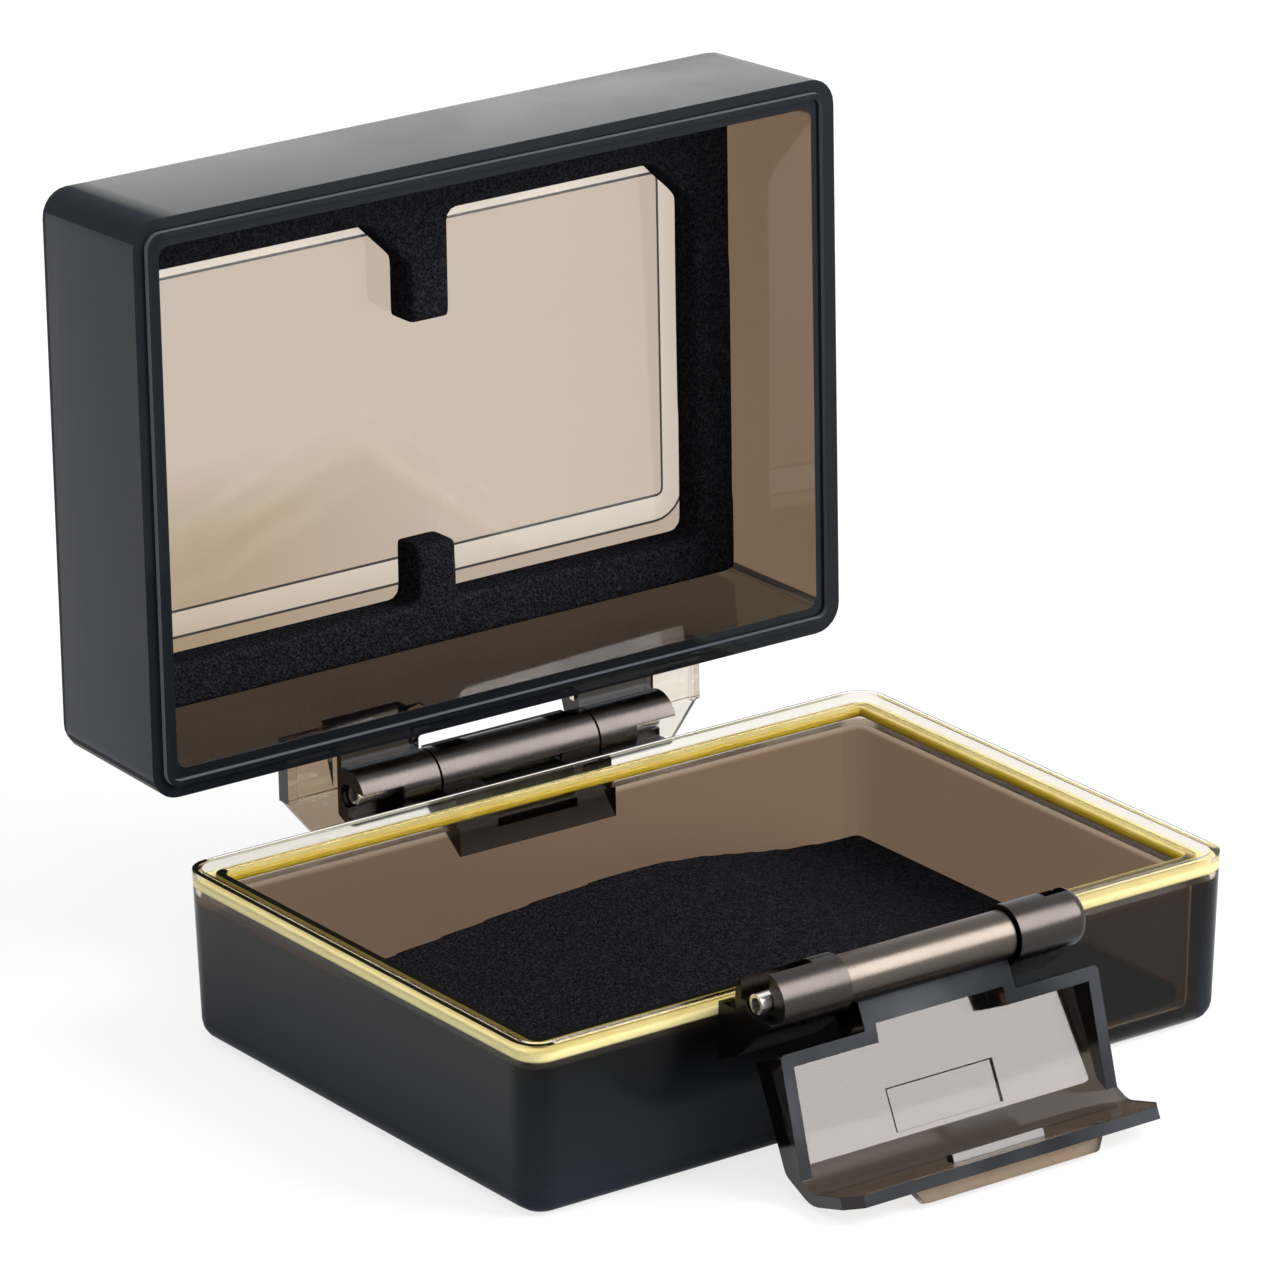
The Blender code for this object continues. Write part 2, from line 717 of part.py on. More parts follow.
def make_spring_pin(name, start, end, centre):
    """A rolled steel pin: a tube with a slot along its length, which opens downwards."""
    inner = PIN_RADIUS - PIN_WALL
    outline = []
    for radius, back in ((PIN_RADIUS, False), (inner, True)):
        gap = math.asin(PIN_SLOT / 2 / radius)
        turns = [gap + (2 * math.pi - 2 * gap) * step / PIN_STEPS for step in range(PIN_STEPS + 1)]
        for turn in reversed(turns) if back else turns:
            outline.append((centre.y + radius * math.sin(turn), centre.z - radius * math.cos(turn)))
    pin = prism(name, [outline], start, end, SIDE)
    return finish_piece(pin, PIN_STEEL)


def hanging(outline):
    """Turns distances out of the tray and down from the latch's axis into y and z."""
    return [(LATCH_AXIS.y - out, LATCH_AXIS.z - down) for out, down in outline]


def facing(outline):
    """Turns x and the distance down from the latch's axis into x and z."""
    return [(across, LATCH_AXIS.z - down) for across, down in outline]


def thickened(path, thickness):
    """A closed outline: a path, and the same path moved to its right by a thickness."""
    points = [Vector(point) for point in path]
    moved = []
    for index, point in enumerate(points):
        before = (point - points[index - 1]).normalized() if index else None
        after = (points[index + 1] - point).normalized() if index < len(points) - 1 else None
        first = before or after
        second = after or before
        normal = (Vector((first.y, -first.x)) + Vector((second.y, -second.x))).normalized()
        stretch = normal.dot(Vector((first.y, -first.x)))
        moved.append(tuple(point + normal * thickness / stretch))
    return [*path, *reversed(moved)]


def latch_sheet():
    """The latch's plate in side view: down from the barrel, along the tray's floor, up the
    ramp and out to the flange."""
    turn = (-TRAY_DEPTH + RAMP_TURN_OUT, TRAY_FLOOR_END + RAMP_TURN_DROP)
    corners = [
        (-LATCH_BARREL_RADIUS / 2, 0),
        (-TRAY_DEPTH, BACK_BEND_DROP, RAMP_ROUND),
        (-TRAY_DEPTH, TRAY_FLOOR_END, FLOOR_ROUND),
        (*turn, RAMP_ROUND),
        (FLANGE_OUT, FLANGE_DROP),
    ]
    path = rounded(corners)
    outline = thickened([(out, down) for out, down in reversed(path)], LATCH_SKIN)
    half = LATCH_LENGTH / 2 + OVERRUN
    return prism("latch_sheet", [hanging(outline)], -half, half, SIDE)


def latch_frame():
    """The block that the tray's walls are left from: its edge falls towards the ramp."""
    depth = TRAY_DEPTH + LATCH_SKIN / 2
    outline = [
        (0, 0),
        (0, SHOULDER_DROP),
        (-TRAY_EDGE_FALL, TRAY_EDGE_END),
        (-TRAY_EDGE_FALL, TRAY_EDGE_END + LATCH_SKIN / 2),
        (-depth, TRAY_FLOOR_END + LATCH_SKIN / 3),
        (-depth, BACK_BEND_DROP),
        (-LATCH_BARREL_RADIUS / 2 - LATCH_SKIN / 2, 0),
    ]
    half = LATCH_LENGTH / 2 + OVERRUN
    return prism("latch", [hanging(outline)], -half, half, SIDE)


def latch_pocket():
    """The T-shaped pocket: the neck above, the tray below."""
    neck = LATCH_NECK_LENGTH / 2 - LATCH_NECK_WALL
    tray = LATCH_LENGTH / 2 - TRAY_WALL
    top = LATCH_BARREL_RADIUS + TRAY_BAND
    shoulder = SHOULDER_DROP + TRAY_WALL
    low = TRAY_EDGE_END + OVERRUN
    outline = [(-neck, top), (neck, top), (neck, shoulder), (tray, shoulder)]
    outline += [(tray, low), (-tray, low), (-tray, shoulder), (-neck, shoulder)]
    back = LATCH_AXIS.y + TRAY_DEPTH + LATCH_SKIN + OVERRUN
    front = LATCH_AXIS.y - LATCH_BARREL_RADIUS - OVERRUN
    return prism("latch_pocket", [facing(outline)], front, back, FRONT)


def latch_face():
    """The latch's outline from the front: a neck that widens to the tray's shoulders."""
    neck = LATCH_NECK_LENGTH / 2
    half = LATCH_LENGTH / 2
    top = -LATCH_BARREL_RADIUS - OVERRUN
    low = TAB_DROP + OVERRUN
    corners = [
        (neck, top),
        (neck, SHOULDER_DROP, LATCH_CORNER / 2),
        (half, SHOULDER_DROP, LATCH_CORNER),
        (half, low),
        (-half, low),
        (-half, SHOULDER_DROP, LATCH_CORNER),
        (-neck, SHOULDER_DROP, LATCH_CORNER / 2),
        (-neck, top),
    ]
    back = LATCH_AXIS.y + TRAY_DEPTH + LATCH_SKIN + OVERRUN
    front = LATCH_AXIS.y - FLANGE_OUT - OVERRUN
    return prism("latch_face", [facing(rounded(corners))], front, back, FRONT)


def latch_plan():
    """The latch's outline from below, with the flange's outer corners cut off."""
    half = LATCH_LENGTH / 2 + EMBED
    corner = LATCH_LENGTH / 2
    back = LATCH_AXIS.y + TRAY_DEPTH + LATCH_SKIN + OVERRUN
    slope = LATCH_AXIS.y - FLANGE_OUT + FLANGE_CHAMFER_OUT
    tip = LATCH_AXIS.y - FLANGE_OUT - EMBED
    tip_half = corner - FLANGE_CHAMFER_X * (FLANGE_CHAMFER_OUT + EMBED) / FLANGE_CHAMFER_OUT
    outline = [(-half, back), (half, back), (half, slope), (corner, slope), (tip_half, tip)]
    outline += [(-tip_half, tip), (-corner, slope), (-half, slope)]
    high = LATCH_AXIS.z + LATCH_BARREL_RADIUS + OVERRUN
    return prism("latch_plan", [outline], LATCH_AXIS.z - TAB_DROP - OVERRUN, high, PLAN)


def latch_hook():
    """The bar on the ramp that bears on the roof's front edge."""
    half = HOOK_LENGTH / 2
    front = LATCH_AXIS.y - HOOK_OUT - HOOK_THICKNESS / 2
    low = LATCH_AXIS.z - FLANGE_DROP - LATCH_SKIN / 3
    high = LATCH_AXIS.z - FLANGE_DROP + HOOK_RISE + LATCH_SKIN / 3
    return box("latch_hook", (-half, half), (front, front + HOOK_THICKNESS), (low, high))


def latch_tab():
    """The finger tab under the flange."""
    root = TAB_ROOT_LENGTH / 2
    tip = TAB_TIP_LENGTH / 2
    start = FLANGE_DROP + LATCH_SKIN / 2
    corners = [(-root, start), (root, start), (tip, TAB_DROP, TAB_CORNER), (-tip, TAB_DROP, TAB_CORNER)]
    back = LATCH_AXIS.y - TAB_OUT
    return prism("latch_tab", [facing(rounded(corners))], back - TAB_THICKNESS, back, FRONT)


def panel_mark():
    """The shallow rectangle in the tray's floor."""
    half = PANEL_MARK_LENGTH / 2
    back = LATCH_AXIS.y + TRAY_DEPTH + PANEL_MARK_DEPTH
    front = LATCH_AXIS.y + TRAY_EDGE_FALL
    low = LATCH_AXIS.z - TRAY_FLOOR_END + FLOOR_ROUND
    high = LATCH_AXIS.z - PANEL_MARK_TOP
    return box("panel_mark", (-half, half), (front, back), (low, high))


def make_latch(pivot):
    latch = latch_frame()
    cut(latch, latch_pocket())
    join(latch, latch_sheet())
    keep(latch, latch_face())
    keep(latch, latch_plan())
    left = -LATCH_BARREL_LEFT_END
    right = LATCH_BARREL_RIGHT_END
    join(latch, rod("latch_barrel", LATCH_BARREL_RADIUS, left, right, LATCH_AXIS, BORE_STEPS))
    join(latch, latch_hook(), latch_tab())
    cut(latch, panel_mark())
    start = left - OVERRUN
    end = right + OVERRUN
    cut(latch, rod("latch_barrel_bore", BORE_RADIUS, start, end, LATCH_AXIS, BORE_STEPS))
    return finish_piece(latch, SMOKY_PLASTIC_LATCH, pivot)


def cavity_half_size(depth, inset):
    """The cavity's half length and half width at a depth below its rim, moved inwards."""
    narrowing = WALL + CAVITY_DRAFT_SHARE * depth + inset
    return HALF_LENGTH - narrowing, HALF_WIDTH - narrowing


def pocket_outline():
    """One opening for two batteries, with tabs that part them and a cut corner in each."""
    right = HALF_LENGTH - POCKET_END_INSET
    left = -right
    front = -HALF_WIDTH + POCKET_FRONT_INSET
    back = HALF_WIDTH - POCKET_BACK_INSET
    divider_left = DIVIDER_OFFSET - DIVIDER_WIDTH / 2
    divider_right = DIVIDER_OFFSET + DIVIDER_WIDTH / 2
    return [
        (left, front),
        (divider_left - POCKET_CHAMFER, front),
        (divider_left, front + POCKET_CHAMFER),
        (divider_left, front + FRONT_TAB_LENGTH),
        (divider_right, front + FRONT_TAB_LENGTH),
        (divider_right, front),
        (right - POCKET_CHAMFER, front),
        (right, front + POCKET_CHAMFER),
        (right, back),
        (divider_right, back),
        (divider_right, back - BACK_TAB_LENGTH),
        (divider_left, back - BACK_TAB_LENGTH),
        (divider_left, back),
        (left, back),
    ]


def make_lid_foam_frame(pivot):
    high = LID_TOP - ROOF - FIT_GAP
    half_size = cavity_half_size(LID_HEIGHT - ROOF, FIT_GAP + CAVITY_EDGE_ROUND / 2)
    outlines = [box_outline(half_size, FOAM_CORNER), pocket_outline()]
    foam = prism("lid_foam_frame", outlines, high - LID_FOAM_THICKNESS, high, PLAN)
    return finish_piece(foam, BLACK_FOAM, pivot)


def make_base_foam_pad():
    """A loose sheet of foam on the floor, which bows up across the case."""
    length, width = cavity_half_size(BASE_HEIGHT - FLOOR, FIT_GAP + CAVITY_EDGE_ROUND / 2)
    low = FLOOR + FIT_GAP
    side_height = low + PAD_THICKNESS
    section = [(length, low), (-length, low)]
    for step in range(CROWN_STEPS + 1):
        across = -length + 2 * length * step / CROWN_STEPS
        run = length + PAD_CROWN_OFFSET if across < PAD_CROWN_OFFSET else length - PAD_CROWN_OFFSET
        offset_share = (across - PAD_CROWN_OFFSET) / run
        bow_share = (1 - offset_share**2) ** 3
        section.append((across, side_height + PAD_CROWN * bow_share))
    pad = prism("base_foam_pad", [section], -width, width, FRONT)
    high = side_height + PAD_CROWN + OVERRUN
    keep(pad, prism("pad_plan", [box_outline((length, width), FOAM_CORNER)], low - EMBED, high, PLAN))
    return finish_piece(pad, BASE_FOAM)


clear_scene()
CASE = make_collection("battery_case")
TOOLS = make_collection("battery_case_tools")
TOOLS.hide_render = True
SMOKY_PLASTIC = make_material("base_smoky_plastic", (0.045, 0.045, 0.05), 0.22, transmission=0.5)
SMOKY_PLASTIC_LID = make_material("lid_smoky_plastic", (0.05, 0.052, 0.06), 0.22, transmission=0.5)
SMOKY_PLASTIC_LATCH = make_material("latch_smoky_plastic", (0.06, 0.055, 0.055), 0.2, transmission=0.4)
YELLOW_RUBBER = make_material("seal_yellow_rubber", (0.72, 0.55, 0.03), 0.45)
PIN_STEEL = make_material("pin_steel", (0.72, 0.7, 0.66), 0.25, metallic=1.0)
BLACK_FOAM = make_material("lid_black_foam", (0.012, 0.012, 0.014), 0.95)
BASE_FOAM = make_material("base_black_foam", (0.015, 0.015, 0.016), 0.95)

LID_PIVOT = make_pivot("lid_hinge_axis", HINGE_AXIS, -LID_OPEN_ANGLE)
LATCH_PIVOT = make_pivot("latch_hinge_axis", LATCH_AXIS, -LATCH_OPEN_ANGLE)
make_base_shell()
make_seal_ring()
make_base_foam_pad()
make_lid_shell(LID_PIVOT)
make_lid_foam_frame(LID_PIVOT)
make_latch(LATCH_PIVOT)
make_spring_pin("hinge_pin", -HINGE_PIN_LENGTH / 2, HINGE_PIN_LENGTH / 2, HINGE_AXIS)
make_spring_pin(
    "latch_pin",
    -LATCH_KNUCKLE_LEFT_END + PIN_END_INSET,
    LATCH_KNUCKLE_RIGHT_END - PIN_STOP_WALL - FIT_GAP,
    LATCH_AXIS,
)
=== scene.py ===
"""Battery case: the looks of the smoky clear shells, the foam, the seal and the latch.

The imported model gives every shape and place, in metres, with +Z up and the hinge towards +Y.
The shells, the latch and the pins are welded copies of their solids. The shells and the latch
get softened edges. The seal is a cord swept along its groove. The foam is made anew, in small
cells, in the space of its solids.
"""

import json
import math

import bmesh
import bpy
from mathutils import Matrix, Vector


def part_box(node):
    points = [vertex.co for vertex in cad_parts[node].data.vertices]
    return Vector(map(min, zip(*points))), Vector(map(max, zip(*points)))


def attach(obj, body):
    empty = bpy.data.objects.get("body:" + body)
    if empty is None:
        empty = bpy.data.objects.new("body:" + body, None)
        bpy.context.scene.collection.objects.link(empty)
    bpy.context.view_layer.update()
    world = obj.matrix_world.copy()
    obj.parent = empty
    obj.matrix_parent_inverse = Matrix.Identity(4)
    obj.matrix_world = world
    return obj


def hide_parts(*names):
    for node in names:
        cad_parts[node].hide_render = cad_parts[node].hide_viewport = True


# Camera: the photograph's viewing angle, and how far it stands, in lengths of the case
CAMERA_AZIMUTH = math.radians(-35.874)
CAMERA_ELEVATION = math.radians(19.832)
CAMERA_ROLL = math.radians(-0.42)
CAMERA_DISTANCE_SHARE = 10.0025
CAMERA_OFFSET_SHARES = (0.0833, 0.2595)
CAMERA_REACH = 10.0
FOCAL_PIXELS = 8624.46
PHOTO_PIXELS = 1270
SENSOR_WIDTH = 36.0

# The case: its walls, its rim and its knuckles
HALF_LENGTH = 0.052
HALF_WIDTH = 0.0364
OUTER_CORNER = 0.0036
# How far in from the outside the sides with painted shade reach
PAINTED_SHADE_DEPTH = 0.0045
RIM_HEIGHT = 0.0218
RIM_EDGE = 0.0006
LIP_DEPTH = 0.002
HOOD_LEVEL = 0.0245
ROOF_LEVEL = 0.0425
KNUCKLE_SPAN = 0.0238
KNUCKLE_REACH = 0.0042

# The roof's panel: the painted dark line on its folds, its painted light band, its faces' lean in
# degrees
PANEL_LINE = 0.00018
PANEL_LINE_LEAN = 3
PANEL_BORDER_LEAN = 9.5
SOFT_EDGE_LEAN = 16

# The latch, measured from its axis: out of its tray, and down along it
LATCH_HALF = 0.02345
LATCH_LEAN = math.radians(25)
TRAY_OUT = Vector((0, -math.cos(LATCH_LEAN), math.sin(LATCH_LEAN)))
TRAY_DOWN = Vector((0, -math.sin(LATCH_LEAN), -math.cos(LATCH_LEAN)))
BARREL_REACH = 0.0031
BARREL_MATT = 0.28
EDGE_LEVEL = -0.003
LIP_OUT = 0.006
TAB_START = 0.0249
# The black strips of painted shade round the shallow rectangle in the tray's floor
TRAY_FLOOR_OUT = -0.00375
TRAY_LINE_HALF = 0.0079
TRAY_LINE_TOP = 0.0137
TRAY_LINE_LOW = 0.019
TRAY_LINE_WIDTH = 0.00014
TRAY_LINE_RISE = 0.00003

# The seal and its groove
GROOVE_WIDTH = 0.0015
GROOVE_SIDE_GAP = 0.0003
GROOVE_FLOOR = 0.0194
GROOVE_SINK = 0.0009
CORD_WIDTH = 0.0011
CORD_FOOT = 0.0186
CORD_TOP = 0.02135
CORD_ROUND = 0.0004
CORD_PATH_CORNER = 0.00165
CORD_CORNER_STEPS = 12
CORD_ROUND_STEPS = 5
# Painted light and shade on the cord: pale on its lit outer flank, deeper gold on its shaded inner
# one
SHADED_GOLD_RUBBER = (0.58, 0.4, 0.02)
LIT_PALE_RUBBER = (1.0, 0.93, 0.46)
PAINTED_FLANK_REACHES = (-0.01, 0.005)
RUBBER_MOTTLE_SCALE = 300.0
RUBBER_MOTTLE = 0.1
RUBBER_ROUGHNESS = 0.38
RUBBER_RELIEF = (0.15, 0.0001)

# Welding and edges
MERGE = 0.000002
FLAT_ANGLE = math.radians(0.6)
SHARP_ANGLE = math.radians(32)
SHELL_EDGE_SOFTNESS = 0.00016
LATCH_EDGE_SOFTNESS = 0.00014
EDGE_STEPS = 2

# Which way a face looks: the least share of its normal along a direction
HARDLY_FACING = 0.1
HALF_FACING = 0.5
TOP_FACING = 0.7
SIDE_FACING = 0.9
TRAY_FACING = 0.93
SQUARELY_FACING = 0.98
FACE_SLACK = 0.0002

# Marks that each face carries for the smoky plastic
OUTER_MARK = "outer_face"
TONE_MARK = "tone"
METAL_MARK = "metallic_sheen"
# Painted opacity: faces that paint light or shade let less light through
PAINTED_OPACITY_MARK = "painted_light_opacity"

# A face's tone is its place along a ramp of tints, from clear by way of tan to black and grey
# Many tones are painted light and shade: sides lighter or darker by how light falls, dark rims and
# lines, light bands
CLEAR_TONE, CLEAR_TINT = 0.0, (1.0, 1.0, 0.98)
ROOF_TONE, ROOF_TINT = 0.2, (0.6, 0.52, 0.455)
# Tan is also the painted shade on the roof's low left
TAN_TONE, TAN_TINT = 0.28, (0.48, 0.385, 0.28)
WALL_TONE, WALL_TINT = 0.4, (0.3, 0.228, 0.18)
# Painted shade: the right wall a little darker than the back one
RIGHT_WALL_TONE, RIGHT_WALL_TINT = 0.425, (0.255, 0.196, 0.156)
# Painted light: the outside of the base's front right of the latch
BRIGHT_FRONT_TONE, BRIGHT_FRONT_TINT = 0.46, (0.38, 0.35, 0.29)
# Painted shade: the inner faces of the dark walls, and the lid's walls by the hinge; also the
# latch's own tint
SHADE_TONE, SHADE_TINT = 0.5, (0.12, 0.1, 0.085)
# Painted highlight: a light grey line on the flanks of the lid's ridge
RIDGE_TONE, RIDGE_TINT = 0.55, (0.095, 0.103, 0.118)
# Painted shade: dark and cool outside the left walls and most of the base's front
COOL_TONE, COOL_TINT = 0.6, (0.014, 0.017, 0.025)
# Ink: painted shade on the lid's rim, its shut front and its panel's fold lines; also the dark webs
# and latch sides
INK_TONE, INK_TINT = 0.7, (0.009, 0.0108, 0.0135)
# Jet: painted shade, black on the base's rim on the left and front
JET_TONE, JET_TINT = 0.77, (0.005, 0.005, 0.005)
# Olive: painted shade on the inner lip's side on the left and front
OLIVE_TONE, OLIVE_TINT = 0.805, (0.2, 0.16, 0.05)
EDGE_TONE, EDGE_TINT = 0.84, (0.049, 0.052, 0.057)
KNUCKLE_TONE, KNUCKLE_TINT = 0.92, (0.052, 0.045, 0.041)
BARREL_TONE, BARREL_TINT = 1.0, (0.095, 0.081, 0.069)
TONE_SLACK = 0.02

# Tones that lie between two steps of the ramp
# Painted light: the far lip's top, nearly clear
FAR_LIP_TONE = 0.1
TAB_TONE = 0.34
LID_WALL_TONE = 0.39
# Painted shade: the left hood plate darker than the right one
RIGHT_HOOD_TONE, LEFT_HOOD_TONE = 0.05, 0.35

# Painted opacity: light that a face painting shade or light keeps from passing, and where it fades
LEFT_WALL_PAINTED_SHADE = 0.5
RIM_PAINTED_SHADE = 0.7
# Painted shade on the lid's rounded corners on the left
CORNER_PAINTED_SHADE = 0.9
CORNER_PAINTED_SHADE_REACHES = (-0.0485, -0.045)
# Painted shade: the cool walls of the base darker towards the foot
FOOT_PAINTED_SHADE = 0.75
FOOT_PAINTED_SHADE_HEIGHTS = (0.002, 0.017)

# Painted light and shade: the clear rim, its dark lines and white edge, and the roof's soft shade
CLEAR_LEVEL = 0.0185
RIM_FADE = 0.0006
LIP_LINE_WIDTH = 0.0007
PAINTED_OUTLINE_WIDTH = 0.0002
PAINTED_WHITE_EDGE_WIDTH = 0.0004
ROOF_PAINTED_SHADE_HEIGHTS = (0.052, 0.062)
ROOF_PAINTED_SHADE_REACHES = (-0.03, 0.006)

# Smoky plastic: the dye in its depth, its gloss, and its roughness on inner and outer faces
DYE_DENSITY = 400.0
DYE_COLOUR = (0.7, 0.62, 0.52)
BASE_IOR = 1.27
LID_IOR = 1.5
LATCH_IOR = 1.5
COOL_GLOSS = (0.9, 0.95, 1.0)
WARM_GLOSS = (1.0, 0.95, 0.94)
BASE_POLISHES = (0.06, 0.2)
LID_POLISHES = (0.05, 0.2)
LATCH_POLISHES = (0.09, 0.8)
SATIN_ROUGHNESS = 0.27
# Painted shade: the knuckles and the barrel darker where they face down
UNDERSIDE_PAINTED_SHADE_SHARE = 0.2
UNDERSIDE_PAINTED_SHADE_LEANS = (-0.75, 0.1)
CLOUD_SCALE = 60.0
CLOUD_SHARES = (0.75, 1.25)
GRAIN_SCALE = 6000.0
GRAIN_RELIEF = (0.05, 0.00005)
RING_SCALE = (5200.0, 900.0, 900.0)
RING_RELIEF = (0.35, 0.00005)

# Foam
FOAM_BLACK = (0.0065, 0.0065, 0.0078)
FOAM_CELL_SCALE = 3000.0
FOAM_CELL_REACHES = (0.1, 0.75)
FOAM_CELL_SHARES = (0.35, 2.2)
FOAM_CELL_RELIEF = (0.8, 0.0002)
FOAM_PATCH_SCALE = 1700.0
FOAM_PATCH_SHARES = (0.5, 1.6)
FOAM_PATCH_RELIEF = (0.5, 0.0002)
FOAM_ROUGHNESS = 0.92
FOAM_VOXEL = 0.0006
FOAM_SMOOTHING = 5

# Steel pins
STEEL_COLOUR = (0.88, 0.86, 0.83)
STEEL_STRETCH = (0.15, 1.0, 1.0)
STEEL_STREAK_SCALE = 4000.0
STEEL_ROUGHNESSES = (0.22, 0.4)
STEEL_RELIEF = (0.2, 0.00003)

# Studio: an even white world, a floor and two soft panels
WORLD_LIGHT = 0.85
FLOOR_SIZE = 6.0
FLOOR_DROP = 0.0001
FLOOR_WHITE_SHARE = 0.75
PAPER_WHITE = (0.97, 0.97, 0.97, 1.0)
PURE_WHITE = (1.0, 1.0, 1.0, 1.0)
KEY_DIRECTION, KEY_DISTANCE, KEY_SIZE = (0.603, -0.583, 0.545), 1.2, (0.8, 0.9)
KEY_RADIANCE, KEY_SPREAD = 9.6, 0.01
TOP_DIRECTION, TOP_DISTANCE, TOP_SIZE = (-0.2, 0.1, 1.0), 1.4, (0.9, 0.9)
TOP_RADIANCE = 1.2


def link(obj):
    bpy.context.scene.collection.objects.link(obj)
    return obj


def plug(tree, value, socket):
    """Links another node's output to a socket, or sets the socket to a value."""
    if isinstance(value, bpy.types.NodeSocket):
        tree.links.new(value, socket)
    else:
        socket.default_value = value


def node_of(tree, kind, **inputs):
    """A shader node with its sockets set, each to a value or to another node's output."""
    node = tree.nodes.new(kind)
    for name, value in inputs.items():
        plug(tree, value, node.inputs[name.replace("_", " ")])
    return node


def new_material(name):
    """A material with an empty tree and its output node."""
    material = bpy.data.materials.new(name)
    material.use_nodes = True
    tree = material.node_tree
    tree.nodes.clear()
    return material, tree, tree.nodes.new("ShaderNodeOutputMaterial")


def coordinates_of(tree, kind="Object"):
    return tree.nodes.new("ShaderNodeTexCoord").outputs[kind]


def axis_of(tree, vector, axis):
    return node_of(tree, "ShaderNodeSeparateXYZ", Vector=vector).outputs[axis]


def noise_of(tree, position, scale, detail=2.0, roughness=0.5):
    noise = node_of(
        tree, "ShaderNodeTexNoise", Vector=position, Scale=scale, Detail=detail, Roughness=roughness
    )
    return noise.outputs["Fac"]


def ranged(tree, value, low, high, start=0.3, end=0.7):
    """A value between start and end becomes one between low and high, and stays within those."""
    limits = {"From_Min": start, "From_Max": end, "To_Min": low, "To_Max": high}
    return node_of(tree, "ShaderNodeMapRange", Value=value, **limits).outputs["Result"]


def math_of(tree, operation, first, second):
    """One step of arithmetic. To COMPARE, values within the tones' slack count as equal."""
    node = tree.nodes.new("ShaderNodeMath")
    node.operation = operation
    for value, socket in zip((first, second, TONE_SLACK), node.inputs):
        plug(tree, value, socket)
    return node.outputs["Value"]


def product_of(tree, first, *others):
    for value in others:
        first = math_of(tree, "MULTIPLY", first, value)
    return first


def vector_of(tree, operation, first, second=(0.0, 0.0, 0.0), result="Vector"):
    """One step of vector arithmetic."""
    node = node_of(tree, "ShaderNodeVectorMath", Vector=first)
    node.operation = operation
    plug(tree, second, node.inputs[1])
    return node.outputs[result]


def stretched(tree, position, scale):
    return node_of(tree, "ShaderNodeMapping", Vector=position, Scale=scale).outputs["Vector"]


def bump_of(tree, height, relief, normal=None):
    strength, distance = relief
    node = node_of(tree, "ShaderNodeBump", Height=height, Strength=strength, Distance=distance)
    if normal is not None:
        tree.links.new(normal, node.inputs["Normal"])
    return node.outputs["Normal"]


def mark_of(tree, name):
    node = tree.nodes.new("ShaderNodeAttribute")
    node.attribute_name = name
    return node.outputs["Fac"]


def put_on(tree, output, shader, normal):
    """Gives a shader its fine relief and puts it on the surface."""
    tree.links.new(normal, shader.inputs["Normal"])
    tree.links.new(shader.outputs["BSDF"], output.inputs["Surface"])


def tint_ramp(tree, tone):
    """The tint of a face from its tone, painted light and shade among them."""
    ramp = node_of(tree, "ShaderNodeValToRGB", Fac=tone)
    steps = ramp.color_ramp.elements
    tones = (
        (CLEAR_TONE, CLEAR_TINT),
        (ROOF_TONE, ROOF_TINT),
        (TAN_TONE, TAN_TINT),
        (WALL_TONE, WALL_TINT),
        (RIGHT_WALL_TONE, RIGHT_WALL_TINT),
        (BRIGHT_FRONT_TONE, BRIGHT_FRONT_TINT),
        (SHADE_TONE, SHADE_TINT),
        (RIDGE_TONE, RIDGE_TINT),
        (COOL_TONE, COOL_TINT),
        (INK_TONE, INK_TINT),
        (JET_TONE, JET_TINT),
        (OLIVE_TONE, OLIVE_TINT),
        (EDGE_TONE, EDGE_TINT),
        (KNUCKLE_TONE, KNUCKLE_TINT),
        (BARREL_TONE, BARREL_TINT),
    )
    while len(steps) < len(tones):
        steps.new(1.0)
    for step, (place, colour) in zip(steps, tones):
        step.position = place
        step.color = (*colour, 1.0)
    return ramp.outputs["Color"]


def with_underside_painted_shade(tree, tint, metal):
    """The tint of the knuckles and the barrel, with painted shade where they face down."""
    upwards = axis_of(tree, coordinates_of(tree, "Normal"), "Z")
    lit = ranged(tree, upwards, UNDERSIDE_PAINTED_SHADE_SHARE, 1.0, *UNDERSIDE_PAINTED_SHADE_LEANS)
    lit = math_of(tree, "MAXIMUM", lit, math_of(tree, "SUBTRACT", 1.0, metal))
    dimmed = tree.nodes.new("ShaderNodeVectorMath")
    dimmed.operation = "SCALE"
    tree.links.new(tint, dimmed.inputs[0])
    tree.links.new(lit, dimmed.inputs["Scale"])
    return dimmed.outputs["Vector"]


def depth_from_outline(tree, position):
    """How far in from the case's rounded outline a point is, as seen from above."""
    corner = (HALF_LENGTH - OUTER_CORNER, HALF_WIDTH - OUTER_CORNER, 1.0)
    beyond = vector_of(tree, "SUBTRACT", vector_of(tree, "ABSOLUTE", position), corner)
    reach = vector_of(tree, "LENGTH", vector_of(tree, "MAXIMUM", beyond), result="Value")
    return math_of(tree, "SUBTRACT", OUTER_CORNER, reach)


def clear_lip(tree, position, depth, jet):
    """One on the outer lip's top, save for a fine painted dark line at the outer edge of its left
    side.
    """
    left = math_of(tree, "LESS_THAN", axis_of(tree, position, "X"), OUTER_CORNER - HALF_LENGTH)
    line = product_of(tree, left, math_of(tree, "LESS_THAN", depth, LIP_LINE_WIDTH))
    lip = product_of(tree, jet, math_of(tree, "LESS_THAN", depth, LIP_DEPTH))
    return product_of(tree, lip, math_of(tree, "SUBTRACT", 1.0, line))


